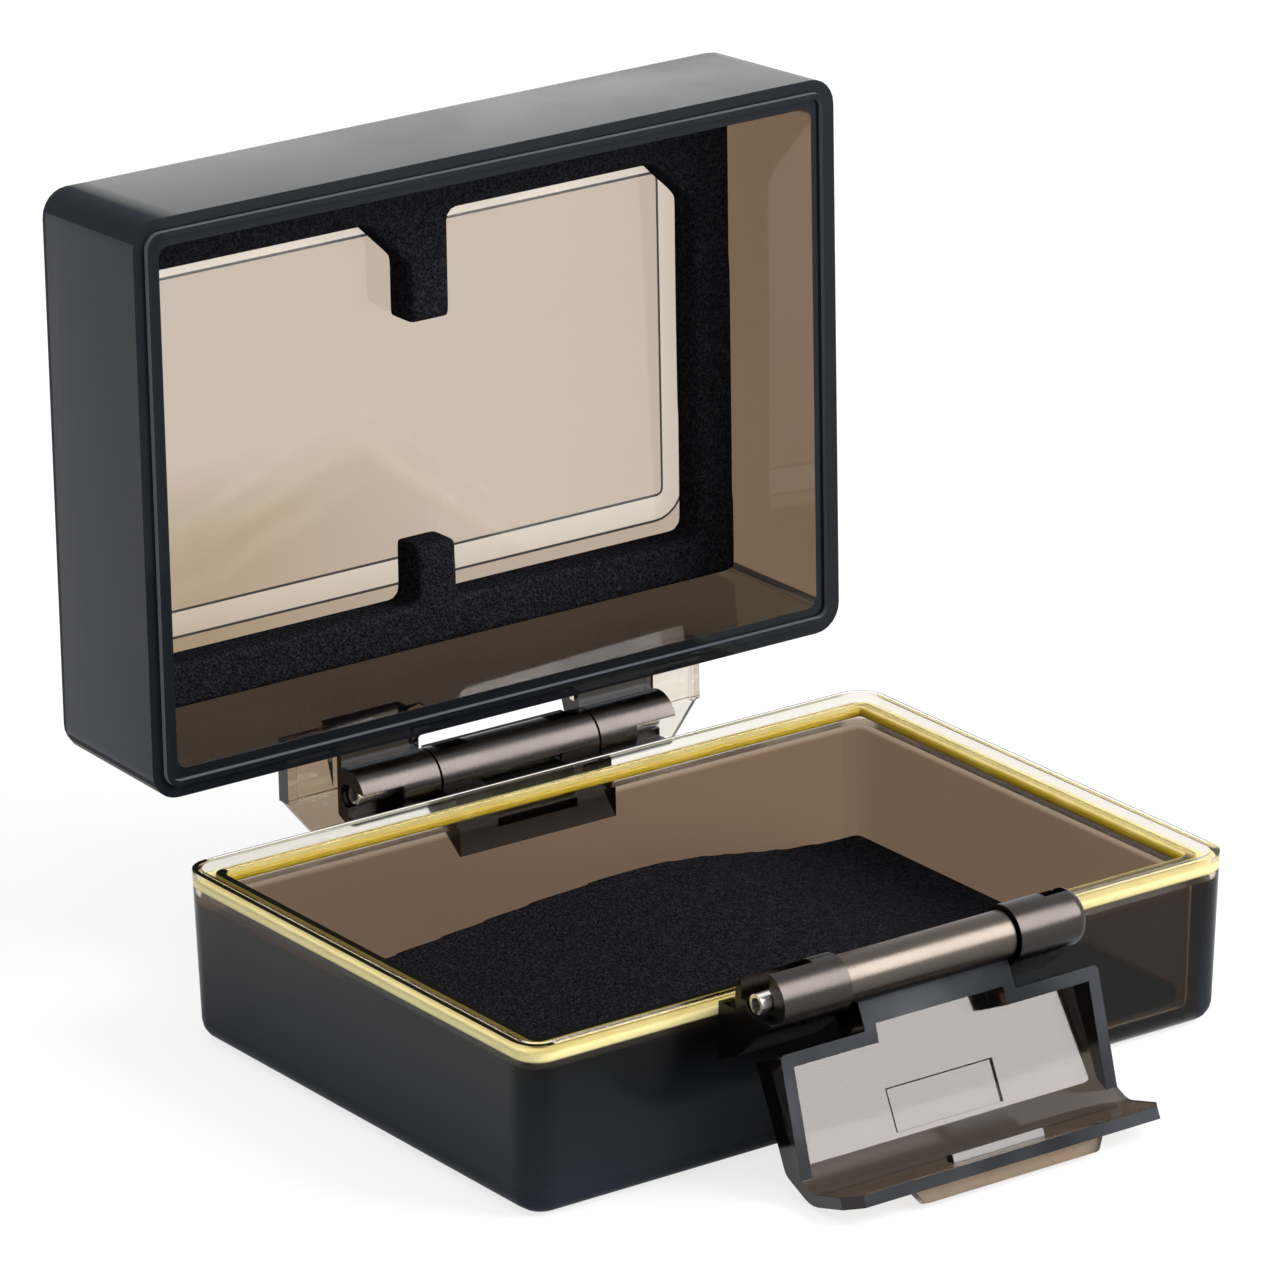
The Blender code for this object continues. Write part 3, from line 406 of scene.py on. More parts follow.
def base_looks(tree, position, tone, painted_opacity):
    """The base's tone and painted opacity: painted light makes its rim clear, and painted shade
    darkens its cool walls towards the foot.

    The outer lip has a fine painted dark line on the left. On the far sides it has a fine painted
    dark outline and, a little further in, a painted white edge.
    """
    jet, cool, far_lip = (
        math_of(tree, "COMPARE", tone, kind) for kind in (JET_TONE, COOL_TONE, FAR_LIP_TONE)
    )
    height = axis_of(tree, position, "Z")
    depth = depth_from_outline(tree, position)
    # Painted light: the rim is made clear above a height
    below_rim = ranged(tree, height, 1.0, 0.0, CLEAR_LEVEL - RIM_FADE, CLEAR_LEVEL)
    knuckle = math_of(tree, "GREATER_THAN", tone, (COOL_TONE + INK_TONE) / 2)
    dark = math_of(tree, "SUBTRACT", 1.0, clear_lip(tree, position, depth, jet))
    tone = product_of(tree, tone, math_of(tree, "MAXIMUM", below_rim, knuckle), dark)
    # Painted shade and light on the far lip: a fine dark outline and a white edge
    outline = product_of(tree, far_lip, math_of(tree, "LESS_THAN", depth, PAINTED_OUTLINE_WIDTH))
    painted_white_edge = product_of(tree, far_lip, math_of(tree, "LESS_THAN", depth, PAINTED_WHITE_EDGE_WIDTH))
    # Painted shade: the cool walls darker towards the foot
    painted_foot_shade = product_of(tree, ranged(tree, height, FOOT_PAINTED_SHADE, 0.0, *FOOT_PAINTED_SHADE_HEIGHTS), cool)
    painted_opacity = math_of(tree, "MAXIMUM", product_of(tree, painted_opacity, dark), painted_foot_shade)
    tone = math_of(tree, "ADD", tone, product_of(tree, outline, SHADE_TONE))
    return tone, math_of(tree, "MAXIMUM", painted_opacity, painted_white_edge)


def lid_looks(tree, position, tone, painted_opacity):
    """The lid's tone and painted opacity: a soft painted tan shade on its roof, and painted shade
    towards the corners on its left.

    The painted shade lies over the part of the roof that is low and to the left when the case is
    open.
    """
    across = axis_of(tree, position, "X")
    # Painted shade on the roof, low and to the left
    low = ranged(tree, axis_of(tree, position, "Z"), 1.0, 0.0, *ROOF_PAINTED_SHADE_HEIGHTS)
    left = ranged(tree, across, 1.0, 0.0, *ROOF_PAINTED_SHADE_REACHES)
    on_roof = math_of(tree, "COMPARE", tone, ROOF_TONE)
    shade = product_of(tree, low, left, TAN_TONE - ROOF_TONE, on_roof)
    # Painted shade on the left corners
    ink = math_of(tree, "COMPARE", tone, INK_TONE)
    corner = product_of(tree, ranged(tree, across, CORNER_PAINTED_SHADE, 0.0, *CORNER_PAINTED_SHADE_REACHES), ink)
    return math_of(tree, "ADD", tone, shade), math_of(tree, "MAXIMUM", painted_opacity, corner)


def smoky_plastic(name, polishes, ior, gloss_tint, looks=None):
    """Clear polycarbonate with a smoky brown dye: the thicker the wall, the darker.

    The outer faces, marked by an attribute, have a fine satin grain; the inner ones are smooth.
    Other attributes hold each face's tone, its metallic sheen and its painted opacity; many tones
    and the opacity are painted light and shade.
    """
    material, tree, output = new_material(name)
    position = coordinates_of(tree)
    outer, tone, metal, painted_opacity = (
        mark_of(tree, mark) for mark in (OUTER_MARK, TONE_MARK, METAL_MARK, PAINTED_OPACITY_MARK)
    )
    if looks:
        tone, painted_opacity = looks(tree, position, tone, painted_opacity)
    shader = node_of(
        tree,
        "ShaderNodeBsdfPrincipled",
        Base_Color=with_underside_painted_shade(tree, tint_ramp(tree, tone), metal),
        Metallic=metal,
        IOR=ior,
        Specular_Tint=(*gloss_tint, 1.0),
        Specular_IOR_Level=0.0,
        # Less light passes where the painted opacity paints shade or light
        Transmission_Weight=math_of(tree, "SUBTRACT", 1.0, painted_opacity),
    )
    polish = ranged(tree, outer, *polishes, 0.0, 1.0)
    satin = ranged(tree, tone, 0.0, SATIN_ROUGHNESS, INK_TONE, KNUCKLE_TONE)
    cloud = ranged(tree, noise_of(tree, position, CLOUD_SCALE, detail=3.0), *CLOUD_SHARES)
    roughness = product_of(tree, math_of(tree, "MAXIMUM", polish, satin), cloud)
    tree.links.new(roughness, shader.inputs["Roughness"])
    grain = product_of(tree, noise_of(tree, position, GRAIN_SCALE, roughness=0.6), outer)
    turned = stretched(tree, position, RING_SCALE)
    rings = noise_of(tree, turned, scale=1.0, detail=3.0, roughness=0.6)
    fine = bump_of(tree, grain, GRAIN_RELIEF)
    put_on(tree, output, shader, bump_of(tree, product_of(tree, rings, metal), RING_RELIEF, fine))
    dye = node_of(tree, "ShaderNodeVolumeAbsorption", Density=DYE_DENSITY, Color=(*DYE_COLOUR, 1.0))
    tree.links.new(dye.outputs["Volume"], output.inputs["Volume"])
    return material


def foam_material():
    """Closed-cell foam: a fine pitted grain with lighter specks where cells are cut open."""
    material, tree, output = new_material("black_foam")
    position = coordinates_of(tree)
    cells = node_of(tree, "ShaderNodeTexVoronoi", Vector=position, Scale=FOAM_CELL_SCALE)
    cells.feature = "F1"
    pits = cells.outputs["Distance"]
    patches = noise_of(tree, position, FOAM_PATCH_SCALE, detail=3.0, roughness=0.7)
    specks = ranged(tree, pits, *FOAM_CELL_SHARES, *FOAM_CELL_REACHES)
    share = product_of(tree, specks, ranged(tree, patches, *FOAM_PATCH_SHARES))
    tint = tree.nodes.new("ShaderNodeMix")
    tint.data_type = "RGBA"
    tint.blend_type = "MULTIPLY"
    tint.inputs["Factor"].default_value = 1.0
    colours = [socket for socket in tint.inputs if socket.type == "RGBA"]
    colours[0].default_value = (*FOAM_BLACK, 1.0)
    tree.links.new(share, colours[1])
    shader = node_of(
        tree,
        "ShaderNodeBsdfPrincipled",
        Base_Color=next(socket for socket in tint.outputs if socket.type == "RGBA"),
        Roughness=FOAM_ROUGHNESS,
        Specular_IOR_Level=0.0,
    )
    rough = bump_of(tree, pits, FOAM_CELL_RELIEF)
    put_on(tree, output, shader, bump_of(tree, patches, FOAM_PATCH_RELIEF, rough))
    return material


def rubber_material():
    """Yellow rubber: painted light makes its outer flank pale, painted shade its inner flank deeper
    gold.
    """
    material, tree, output = new_material("seal_yellow_rubber_look")
    position = coordinates_of(tree)
    level = vector_of(tree, "MULTIPLY", position, (1.0, 1.0, 0.0))
    outwards = vector_of(tree, "DOT_PRODUCT", level, coordinates_of(tree, "Normal"), "Value")
    mottle = noise_of(tree, position, RUBBER_MOTTLE_SCALE)
    # Painted light on the outer flank, painted shade on the inner one
    painted_flank_light = ranged(tree, outwards, 0.0, 1.0, *PAINTED_FLANK_REACHES)
    painted_flank_light = math_of(tree, "ADD", painted_flank_light, ranged(tree, mottle, -RUBBER_MOTTLE, RUBBER_MOTTLE))
    ramp = node_of(tree, "ShaderNodeValToRGB", Fac=painted_flank_light)
    for step, colour in zip(ramp.color_ramp.elements, (SHADED_GOLD_RUBBER, LIT_PALE_RUBBER)):
        step.color = (*colour, 1.0)
    shader = node_of(
        tree,
        "ShaderNodeBsdfPrincipled",
        Base_Color=ramp.outputs["Color"],
        Roughness=RUBBER_ROUGHNESS,
    )
    put_on(tree, output, shader, bump_of(tree, mottle, RUBBER_RELIEF))
    return material


def steel_material():
    """Bright rolled steel, with fine streaks along the pin."""
    material, tree, output = new_material("pin_bright_steel")
    along = stretched(tree, coordinates_of(tree), STEEL_STRETCH)
    streaks = noise_of(tree, along, STEEL_STREAK_SCALE)
    shader = node_of(
        tree,
        "ShaderNodeBsdfPrincipled",
        Base_Color=(*STEEL_COLOUR, 1.0),
        Metallic=1.0,
        Roughness=ranged(tree, streaks, *STEEL_ROUGHNESSES),
    )
    put_on(tree, output, shader, bump_of(tree, streaks, STEEL_RELIEF))
    return material


def welded(node, name):
    """A copy of a solid with its points merged and its flat faces whole."""
    source = frame["nodes"][node].data
    bm = bmesh.new()
    bm.from_mesh(source)
    bmesh.ops.remove_doubles(bm, verts=bm.verts, dist=MERGE)
    bmesh.ops.dissolve_limit(bm, angle_limit=FLAT_ANGLE, verts=bm.verts, edges=bm.edges)
    clean = bpy.data.meshes.new(name)
    points = {vert: index for index, vert in enumerate(bm.verts)}
    clean.from_pydata(
        [vert.co[:] for vert in bm.verts],
        [],
        [[points[vert] for vert in face.verts] for face in bm.faces],
    )
    bm.free()
    clean.shade_smooth()
    clean.set_sharp_from_angle(angle=SHARP_ANGLE)
    return link(bpy.data.objects.new(name, clean))


def soften(obj, width):
    """Rounds the sharp edges a little, and keeps the flats flat."""
    bevel = obj.modifiers.new("softened edges", "BEVEL")
    bevel.limit_method = "ANGLE"
    bevel.angle_limit = SHARP_ANGLE
    bevel.width = width
    bevel.segments = EDGE_STEPS
    bevel.harden_normals = True


def mark_faces(mesh, name, value_of):
    mark = mesh.attributes.new(name, "FLOAT", "FACE")
    for face in mesh.polygons:
        mark.data[face.index].value = float(value_of(face))


def marks_for(outer_of, tone_of, painted_opacity_of=None):
    """The marks of a clear piece, each with what gives it its value on a face."""
    marks = [(OUTER_MARK, outer_of), (TONE_MARK, tone_of)]
    marks.append((METAL_MARK, lambda face: tone_of(face) >= EDGE_TONE))
    return marks + [(PAINTED_OPACITY_MARK, painted_opacity_of)] if painted_opacity_of else marks


def line_panel(mesh):
    """Gives the pressed panel's shallow folds a fine strip each, to carry a painted dark line."""
    bm = bmesh.new()
    bm.from_mesh(mesh)
    roof_share = math.cos(math.radians(SOFT_EDGE_LEAN))
    folds = [
        edge
        for edge in bm.edges
        if closed_place(edge.verts[0].co).z > ROOF_LEVEL
        and len(edge.link_faces) == 2
        and PANEL_BORDER_LEAN < math.degrees(edge.calc_face_angle(0)) < SOFT_EDGE_LEAN
        and all((LID_TURN @ face.normal).z > roof_share for face in edge.link_faces)
    ]
    bmesh.ops.bevel(bm, geom=folds, offset=PANEL_LINE, segments=1, profile=0.5, affect="EDGES")
    bm.to_mesh(mesh)
    bm.free()


def part_rim(mesh):
    """Cuts the rim so that each of its sides has its own faces, and sinks the groove's floor."""
    bm = bmesh.new()
    bm.from_mesh(mesh)
    across, along = HALF_LENGTH - PAINTED_SHADE_DEPTH, HALF_WIDTH - PAINTED_SHADE_DEPTH
    for cut in ((-across, 0, 0), (LATCH_HALF, 0, 0), (across, 0, 0), (0, -along, 0), (0, along, 0)):
        parts = bm.verts[:] + bm.edges[:] + bm.faces[:]
        bmesh.ops.bisect_plane(bm, geom=parts, dist=MERGE, plane_co=cut, plane_no=cut)
    for vert in bm.verts:
        x, y = abs(vert.co.x), abs(vert.co.y)
        within = x < HALF_LENGTH - FACE_SLACK and y < HALF_WIDTH - FACE_SLACK
        if within and abs(vert.co.z - GROOVE_FLOOR) < FACE_SLACK:
            vert.co.z -= GROOVE_SINK
    bm.to_mesh(mesh)
    bm.free()
    mesh.set_sharp_from_angle(angle=SHARP_ANGLE)


def stand_in(piece, node, body):
    """Lets a piece move with its body in place of the solid of the same part."""
    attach(piece, body)
    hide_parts(node)


def make_piece(node, name, body, material, softness=0, marks=(), reshape=None):
    """A welded copy of a solid, with its faces marked and its edges softened if asked."""
    piece = welded(node, name)
    if reshape:
        reshape(piece.data)
    piece.data.materials.append(material)
    for mark, value_of in marks:
        mark_faces(piece.data, mark, value_of)
    if softness:
        soften(piece, softness)
    stand_in(piece, node, body)


def make_foam(node, name, body, material):
    """A soft sheet in the space of its solid, with worn edges."""
    foam = welded(node, name)
    remesh = foam.modifiers.new("cells", "REMESH")
    remesh.mode = "VOXEL"
    remesh.voxel_size = FOAM_VOXEL
    settle = foam.modifiers.new("smoothed cells", "SMOOTH")
    settle.factor = 0.5
    settle.iterations = FOAM_SMOOTHING
    mesh = made_plain(foam, name)
    mesh.materials.clear()
    mesh.materials.append(material)
    mesh.shade_smooth()
    stand_in(foam, node, body)


def made_plain(obj, name):
    """Turns what an object's modifiers make into its own plain mesh."""
    graph = bpy.context.evaluated_depsgraph_get()
    mesh = bpy.data.meshes.new_from_object(obj.evaluated_get(graph))
    obj.modifiers.clear()
    obj.data = mesh
    mesh.name = name
    return mesh


def cord_tree():
    """A seal's cord: a section with round corners, swept along the groove's rounded rectangle."""
    tree = bpy.data.node_groups.new("seal_cord", "GeometryNodeTree")
    sizes = ("Length", "Width", "Corner", "Cord width", "Cord height", "Cord round", "Level")
    for name in sizes:
        tree.interface.new_socket(name=name, in_out="INPUT", socket_type="NodeSocketFloat")
    tree.interface.new_socket(name="Material", in_out="INPUT", socket_type="NodeSocketMaterial")
    tree.interface.new_socket(name="Cord", in_out="OUTPUT", socket_type="NodeSocketGeometry")
    given = tree.nodes.new("NodeGroupInput").outputs

    def rounded(across, along, corner, steps):
        outline = node_of(
            tree,
            "GeometryNodeCurvePrimitiveQuadrilateral",
            Width=given[across],
            Height=given[along],
        )
        fillet = tree.nodes.new("GeometryNodeFilletCurve")
        fillet.mode = "POLY"
        fillet.inputs["Count"].default_value = steps
        tree.links.new(given[corner], fillet.inputs["Radius"])
        tree.links.new(outline.outputs["Curve"], fillet.inputs["Curve"])
        return fillet.outputs["Curve"]

    sweep = node_of(
        tree,
        "GeometryNodeCurveToMesh",
        Curve=rounded("Length", "Width", "Corner", CORD_CORNER_STEPS),
        Profile_Curve=rounded("Cord height", "Cord width", "Cord round", CORD_ROUND_STEPS),
    )
    lift = node_of(tree, "ShaderNodeCombineXYZ", Z=given["Level"])
    place = node_of(
        tree,
        "GeometryNodeTransform",
        Geometry=sweep.outputs["Mesh"],
        Translation=lift.outputs["Vector"],
    )
    whole = node_of(tree, "GeometryNodeRealizeInstances", Geometry=place.outputs["Geometry"])
    finish = node_of(
        tree,
        "GeometryNodeSetMaterial",
        Geometry=whole.outputs["Geometry"],
        Material=given["Material"],
    )
    result = tree.nodes.new("NodeGroupOutput")
    tree.links.new(finish.outputs["Geometry"], result.inputs["Cord"])
    return tree


def make_seal_cord(material):
    """The rubber cord as it fills its groove, a little wider and higher than its solid."""
    low, high = (Vector(corner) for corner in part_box("seal_ring"))
    inset = (GROOVE_WIDTH - 2 * GROOVE_SIDE_GAP) / 2
    sizes = {
        "Length": high.x - low.x - 2 * inset,
        "Width": high.y - low.y - 2 * inset,
        "Corner": CORD_PATH_CORNER,
        "Cord width": CORD_WIDTH,
        "Cord height": CORD_TOP - CORD_FOOT,
        "Cord round": CORD_ROUND,
        "Level": (CORD_TOP + CORD_FOOT) / 2,
        "Material": material,
    }
    cord = link(bpy.data.objects.new("seal_cord", bpy.data.meshes.new("seal_cord")))
    sweep = cord.modifiers.new("cord along its groove", "NODES")
    sweep.node_group = cord_tree()
    for item in sweep.node_group.interface.items_tree:
        if item.in_out == "INPUT":
            sweep[item.identifier] = sizes[item.name]
    mesh = made_plain(cord, "seal_cord")
    bm = bmesh.new()
    bm.from_mesh(mesh)
    bmesh.ops.recalc_face_normals(bm, faces=bm.faces)
    bm.to_mesh(mesh)
    bm.free()
    mesh.shade_smooth()
    stand_in(cord, "seal_ring", "base")


def base_outer(face):
    """One on the outer faces, below the rim."""
    outwards = face.normal.dot(face.center - Vector((0, 0, RIM_HEIGHT / 2))) > 0
    return outwards and face.normal.z < HALF_FACING


def base_tone(face):
    """Dark on the knuckles and their webs; elsewhere painted light and shade by side: clear on the
    far lip, tan on the back and right walls, dark on the front and left ones with a black rim and
    an olive lip, but clear on the rim and lighter outside right of the latch.
    """
    place = face.center
    if abs(place.y) - HALF_WIDTH > FACE_SLACK:
        axis = LID_AXIS if place.y > 0 else LATCH_AXIS
        return KNUCKLE_TONE if (place - axis).yz.length < KNUCKLE_REACH else INK_TONE
    right_end = HALF_LENGTH - PAINTED_SHADE_DEPTH
    # Painted shade: the front and left sides are made dark
    shaded = place.y < PAINTED_SHADE_DEPTH - HALF_WIDTH or place.x < -right_end
    at_rim = place.z > RIM_HEIGHT - RIM_EDGE - FACE_SLACK
    if not shaded:
        if at_rim and face.normal.z > TOP_FACING:
            return FAR_LIP_TONE
        return RIGHT_WALL_TONE if place.x > right_end else WALL_TONE
    inner_lip = (
        face.normal.z < HARDLY_FACING
        and place.z > GROOVE_FLOOR
        and abs(place.x) < HALF_LENGTH - LIP_DEPTH
    )
    # Painted shade on the rim's top and the inner lip's side, but painted light right of the latch
    if at_rim or (inner_lip and base_outer(face)):
        if place.x > LATCH_HALF:
            return CLEAR_TONE
        return OLIVE_TONE if inner_lip and abs(face.normal.z) < HALF_FACING else JET_TONE
    # Painted shade inside; outside dark and cool, but painted lighter right of the latch
    if not base_outer(face):
        return SHADE_TONE
    return BRIGHT_FRONT_TONE if LATCH_HALF < place.x < right_end else COOL_TONE


def base_painted_opacity(face):
    """Painted shade: opaque on the rim's painted black top and the inner lip's painted olive side.
    """
    return base_tone(face) in (JET_TONE, OLIVE_TONE)


def closed_place(point):
    """Where a point of the open lid is when the lid is shut."""
    return LID_TURN @ (point - LID_AXIS) + LID_AXIS


def lid_outer(face):
    """One on the outer faces, above the rim."""
    middle = Vector((0, 0, RIM_HEIGHT * 3 / 2))
    normal = LID_TURN @ face.normal
    return normal.dot(closed_place(face.center) - middle) > 0 and normal.z > -HALF_FACING


def lid_ridge(place, normal):
    """True on the flanks of the ridge that presses on the seal."""
    return abs(normal.z) < HALF_FACING and RIM_HEIGHT - RIM_EDGE < place.z < RIM_HEIGHT


def lid_tone(face):
    """Clear-looking on the thin roof and the right hood plate, dark on the knuckles and their webs;
    elsewhere painted light and shade: dark lines and a light band on the panel's folds, a darker
    left hood plate, a grey highlight on the ridge's flanks, a dark rim, and dark walls on the left,
    front and hinge sides.
    """
    place = closed_place(face.center)
    if place.y - HALF_WIDTH > FACE_SLACK:
        if abs(place.x) < KNUCKLE_SPAN and place.z < HOOD_LEVEL:
            return KNUCKLE_TONE if (place - LID_AXIS).yz.length < KNUCKLE_REACH else INK_TONE
        # Painted shade: the left hood plate darker than the right
        return LEFT_HOOD_TONE if place.x < 0 else RIGHT_HOOD_TONE
    normal = LID_TURN @ face.normal
    lean = math.degrees(normal.angle(Vector((0, 0, 1))))
    # Painted shade on the left, front and hinge sides
    left = place.x < PAINTED_SHADE_DEPTH - HALF_LENGTH
    shaded = left or abs(place.y) > HALF_WIDTH - PAINTED_SHADE_DEPTH
    if place.z > ROOF_LEVEL and not (shaded and lean > PANEL_LINE_LEAN):
        # Painted dark lines on the panel's folds, and a painted light band on its border
        if PANEL_LINE_LEAN < lean < PANEL_BORDER_LEAN:
            return INK_TONE
        return CLEAR_TONE if PANEL_BORDER_LEAN < lean < SOFT_EDGE_LEAN else ROOF_TONE
    if place.z < RIM_HEIGHT + RIM_EDGE:
        # Painted highlight on the ridge's flanks, painted shade on the rest of the rim
        return RIDGE_TONE if lid_ridge(place, normal) else INK_TONE
    if not shaded:
        return LID_WALL_TONE
    by_hinge = place.y > HALF_WIDTH - PAINTED_SHADE_DEPTH and abs(face.normal.x) < SIDE_FACING
    if by_hinge or not lid_outer(face):
        return SHADE_TONE
    return COOL_TONE if left else INK_TONE


def lid_painted_opacity(face):
    """Painted opacity: full on the ridge's flanks for their painted highlight, and part of the way
    for painted shade on the rim and the outside of the left.
    """
    tone = lid_tone(face)
    place = closed_place(face.center)
    if lid_ridge(place, LID_TURN @ face.normal):
        return 1
    if tone == INK_TONE and place.z < RIM_HEIGHT + RIM_EDGE and place.y < HALF_WIDTH:
        return RIM_PAINTED_SHADE
    if not lid_outer(face) or place.x > PAINTED_SHADE_DEPTH - HALF_LENGTH or place.y > HALF_WIDTH:
        return 0
    return LEFT_WALL_PAINTED_SHADE if face.normal.x < -SQUARELY_FACING else CORNER_PAINTED_SHADE


def latch_place(face):
    """How far out of the tray a face of the latch is, and how far down from its axis."""
    arm = face.center - LATCH_AXIS
    return arm.dot(TRAY_OUT), arm.dot(TRAY_DOWN)


def finger_tab(out, down):
    return down > TAB_START and out < LIP_OUT


def latch_matt(face):
    """How matt a face is: the barrel a little, the tray's edges and the finger tab fully."""
    out, down = latch_place(face)
    if down < BARREL_REACH:
        return BARREL_MATT
    facing = face.normal.dot(TRAY_OUT)
    if finger_tab(out, down):
        return facing > HALF_FACING
    edge = facing > TRAY_FACING and EDGE_LEVEL < out < BARREL_REACH / 2
    return edge or (facing > HALF_FACING and out > LIP_OUT)


def latch_tone(face):
    """Satin on the barrel and the tray's edges, tan on the finger tab, and dark on the sides."""
    out, down = latch_place(face)
    if down < BARREL_REACH:
        return BARREL_TONE
    if finger_tab(out, down):
        return TAB_TONE
    if latch_matt(face) == 1:
        return EDGE_TONE
    at_side = abs(face.center.x) > LATCH_HALF - FACE_SLACK
    return INK_TONE if at_side and abs(face.normal.x) > SIDE_FACING else SHADE_TONE


def make_tray_line(material):
    """The fine line round the shallow rectangle in the tray's floor, black strips of painted shade.
    """
    bm = bmesh.new()
    left, right = -TRAY_LINE_HALF, TRAY_LINE_HALF
    top, low = TRAY_LINE_TOP, TRAY_LINE_LOW
    for x_range, down_range in (
        ((left, right), (top, top + TRAY_LINE_WIDTH)),
        ((left, left + TRAY_LINE_WIDTH), (top, low)),
        ((right - TRAY_LINE_WIDTH, right), (top, low)),
    ):
        strip = bmesh.ops.create_cube(bm, size=1)["verts"]
        for vert in strip:
            across = x_range[vert.co.x > 0]
            down = down_range[vert.co.y > 0]
            out = TRAY_FLOOR_OUT + (TRAY_LINE_RISE if vert.co.z > 0 else -TRAY_LINE_RISE)
            vert.co = LATCH_AXIS + Vector((across, 0, 0)) + down * TRAY_DOWN + out * TRAY_OUT
    bmesh.ops.recalc_face_normals(bm, faces=bm.faces)
    mesh = bpy.data.meshes.new("tray_floor_line")
    bm.to_mesh(mesh)
    bm.free()
    mesh.materials.append(material)
    line = link(bpy.data.objects.new("tray_floor_line", mesh))
    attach(line, "latch")


def make_camera():
    low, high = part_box("base_shell")
    length = high[0] - low[0]
    azimuth, elevation, roll = CAMERA_AZIMUTH, CAMERA_ELEVATION, CAMERA_ROLL
    level = math.cos(elevation)
    back = Vector((math.sin(azimuth) * level, -math.cos(azimuth) * level, math.sin(elevation)))
    flat_right = Vector((math.cos(azimuth), math.sin(azimuth), 0))
    flat_up = back.cross(flat_right)
    right = math.cos(roll) * flat_right + math.sin(roll) * flat_up
    up = -math.sin(roll) * flat_right + math.cos(roll) * flat_up
    across, along = CAMERA_OFFSET_SHARES
    place = (back * CAMERA_DISTANCE_SHARE - right * across + up * along) * length
    place += Vector((0, 0, RIM_HEIGHT))
    data = bpy.data.cameras.new("camera")
    data.sensor_width = SENSOR_WIDTH
    data.lens = FOCAL_PIXELS / PHOTO_PIXELS * SENSOR_WIDTH
    data.clip_end = CAMERA_REACH
    camera = link(bpy.data.objects.new("camera", data))
    camera.matrix_world = Matrix(
        (
            (right.x, up.x, back.x, place.x),
            (right.y, up.y, back.y, place.y),
            (right.z, up.z, back.z, place.z),
            (0, 0, 0, 1),
        )
    )
    bpy.context.scene.camera = camera


def seen_directly(tree):
    """One for what the camera sees, itself or by way of a mirror or a clear wall."""
    rays = tree.nodes.new("ShaderNodeLightPath").outputs
    mirrored = math_of(tree, "MAXIMUM", rays["Is Camera Ray"], rays["Is Glossy Ray"])
    return math_of(tree, "MAXIMUM", mirrored, rays["Is Transmission Ray"])


def make_world():
    """White all round as seen, and a little dimmer as light."""
    world = bpy.data.worlds.new("studio")
    bpy.context.scene.world = world
    world.use_nodes = True
    tree = world.node_tree
    tree.nodes.clear()
    strength = ranged(tree, seen_directly(tree), WORLD_LIGHT, 1.0, 0.0, 1.0)
    background = node_of(tree, "ShaderNodeBackground", Strength=strength, Color=PURE_WHITE)
    output = tree.nodes.new("ShaderNodeOutputWorld")
    tree.links.new(background.outputs["Background"], output.inputs["Surface"])


def make_floor():
    """White paper that takes a faint shadow."""
    bm = bmesh.new()
    bmesh.ops.create_grid(bm, x_segments=1, y_segments=1, size=FLOOR_SIZE / 2)
    bmesh.ops.translate(bm, verts=bm.verts, vec=(0, 0, -FLOOR_DROP))
    mesh = bpy.data.meshes.new("floor")
    bm.to_mesh(mesh)
    bm.free()
    floor = link(bpy.data.objects.new("floor", mesh))
    material, tree, output = new_material("floor_white")
    paper = node_of(tree, "ShaderNodeBsdfDiffuse", Color=PAPER_WHITE)
    white = node_of(tree, "ShaderNodeEmission", Color=PURE_WHITE, Strength=1.0)
    share = product_of(tree, seen_directly(tree), FLOOR_WHITE_SHARE)
    shown = node_of(tree, "ShaderNodeMixShader", Fac=share)
    tree.links.new(paper.outputs["BSDF"], shown.inputs[1])
    tree.links.new(white.outputs["Emission"], shown.inputs[2])
    tree.links.new(shown.outputs["Shader"], output.inputs["Surface"])
    mesh.materials.append(material)


def make_lamp(name, direction, distance, size, radiance, spread_light=1.0):
    """A square soft panel that faces the case. Its power follows from how bright it looks."""
    data = bpy.data.lights.new(name, "AREA")
    data.shape = "RECTANGLE"
    data.size, data.size_y = size
    data.energy = radiance * math.pi * size[0] * size[1]
    data.diffuse_factor = spread_light
    lamp = link(bpy.data.objects.new(name, data))
    towards = Vector(direction).normalized()
    lamp.location = towards * distance
    lamp.rotation_mode = "QUATERNION"
    lamp.rotation_quaternion = towards.to_track_quat("Z", "Y")


def joint_named(name):
    return next(joint for joint in frame["joints"] if joint["name"] == name)


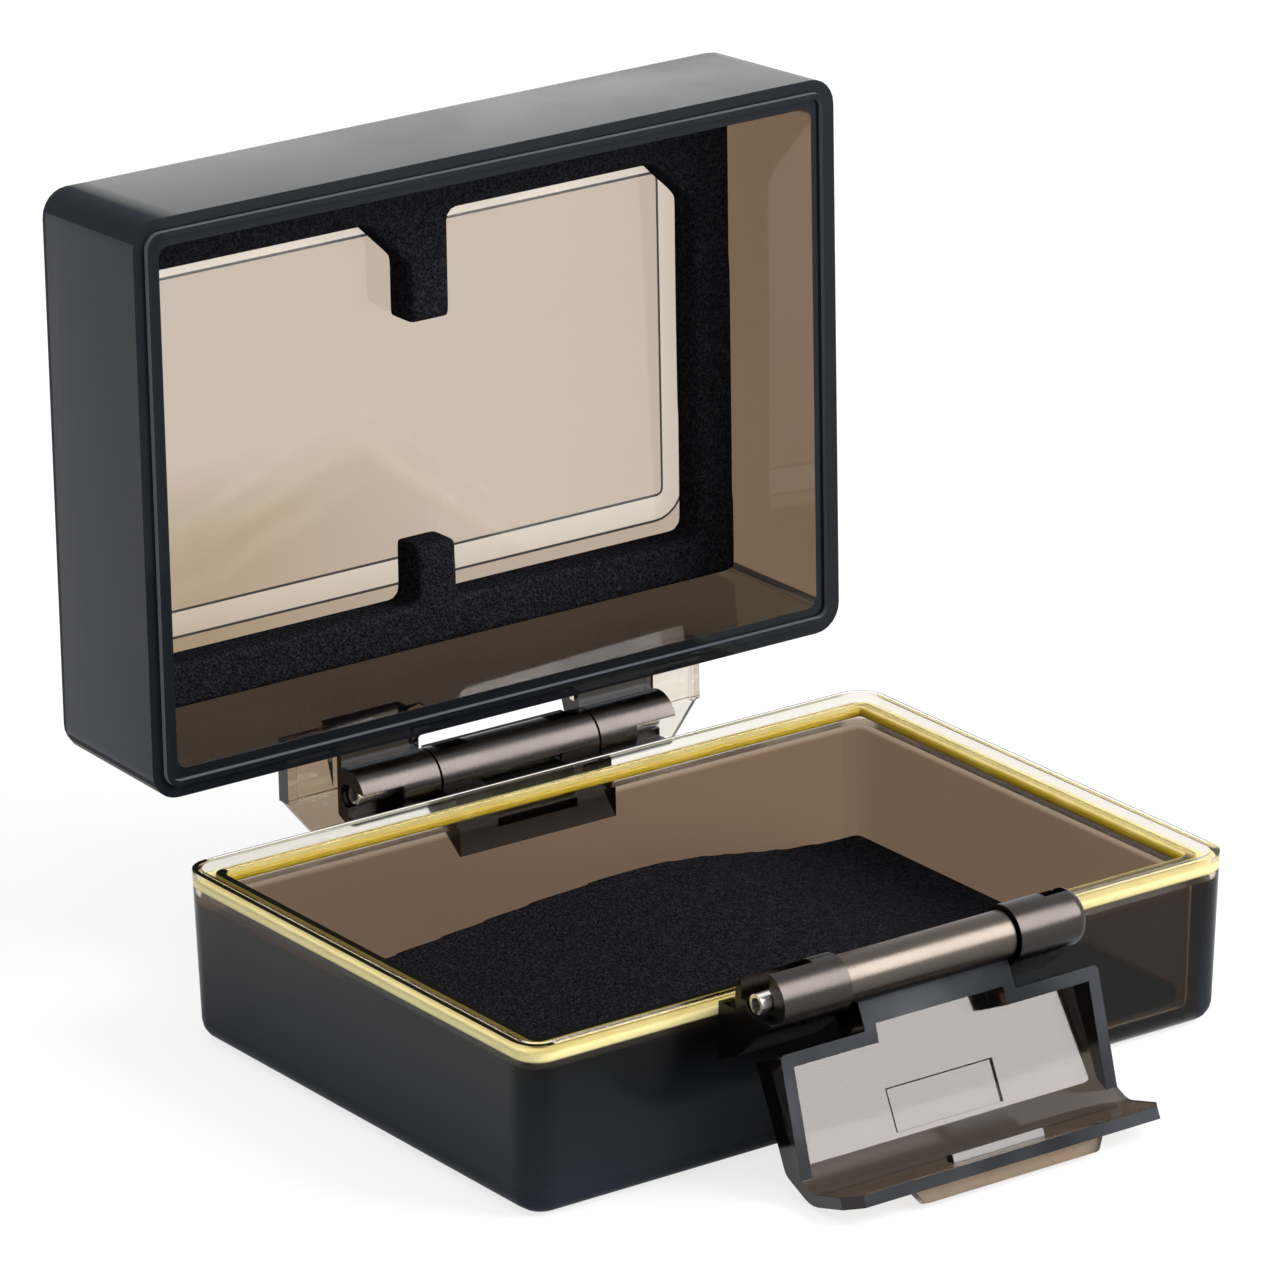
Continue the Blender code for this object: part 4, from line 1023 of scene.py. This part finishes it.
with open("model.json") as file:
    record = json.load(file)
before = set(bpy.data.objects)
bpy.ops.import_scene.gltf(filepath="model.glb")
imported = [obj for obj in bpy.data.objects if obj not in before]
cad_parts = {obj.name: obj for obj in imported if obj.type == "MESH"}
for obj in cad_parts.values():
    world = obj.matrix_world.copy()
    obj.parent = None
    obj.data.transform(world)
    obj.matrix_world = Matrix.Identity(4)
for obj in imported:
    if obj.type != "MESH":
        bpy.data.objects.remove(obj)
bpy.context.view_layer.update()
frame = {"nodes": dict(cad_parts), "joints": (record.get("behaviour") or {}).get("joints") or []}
LID_JOINT = joint_named("lid_hinge")
LID_AXIS = Vector(LID_JOINT["pos_m"])
LID_TURN = Matrix.Rotation(math.radians(LID_JOINT["range_deg"][1]), 3, "X")
LATCH_AXIS = Vector(joint_named("latch_hinge")["pos_m"])

BASE_PLASTIC = smoky_plastic(
    "smoky_plastic_base", BASE_POLISHES, BASE_IOR, COOL_GLOSS, base_looks
)
LID_PLASTIC = smoky_plastic("smoky_plastic_lid", LID_POLISHES, LID_IOR, COOL_GLOSS, lid_looks)
LATCH_PLASTIC = smoky_plastic("smoky_plastic_latch", LATCH_POLISHES, LATCH_IOR, WARM_GLOSS)
FOAM = foam_material()
SEAL = rubber_material()
STEEL = steel_material()
BASE_MARKS = marks_for(base_outer, base_tone, base_painted_opacity)
LID_MARKS = marks_for(lid_outer, lid_tone, lid_painted_opacity)
LATCH_MARKS = marks_for(latch_matt, latch_tone)

make_piece(
    "base_shell", "base_box", "base", BASE_PLASTIC, SHELL_EDGE_SOFTNESS, BASE_MARKS, part_rim
)
make_piece("lid_shell", "lid_box", "lid", LID_PLASTIC, SHELL_EDGE_SOFTNESS, LID_MARKS, line_panel)
make_piece("latch", "latch_clasp", "latch", LATCH_PLASTIC, LATCH_EDGE_SOFTNESS, LATCH_MARKS)
make_tray_line(FOAM)
make_seal_cord(SEAL)
make_piece("hinge_pin", "hinge_spring_pin", "base", STEEL)
make_piece("latch_pin", "latch_spring_pin", "base", STEEL)
make_foam("base_foam_pad", "base_foam_sheet", "base", FOAM)
make_foam("lid_foam_frame", "lid_foam_insert", "lid", FOAM)

make_world()
make_floor()
make_camera()
make_lamp("key_panel", KEY_DIRECTION, KEY_DISTANCE, KEY_SIZE, KEY_RADIANCE, KEY_SPREAD)
make_lamp("top_panel", TOP_DIRECTION, TOP_DISTANCE, TOP_SIZE, TOP_RADIANCE)
bpy.context.scene.view_settings.view_transform = "Standard"
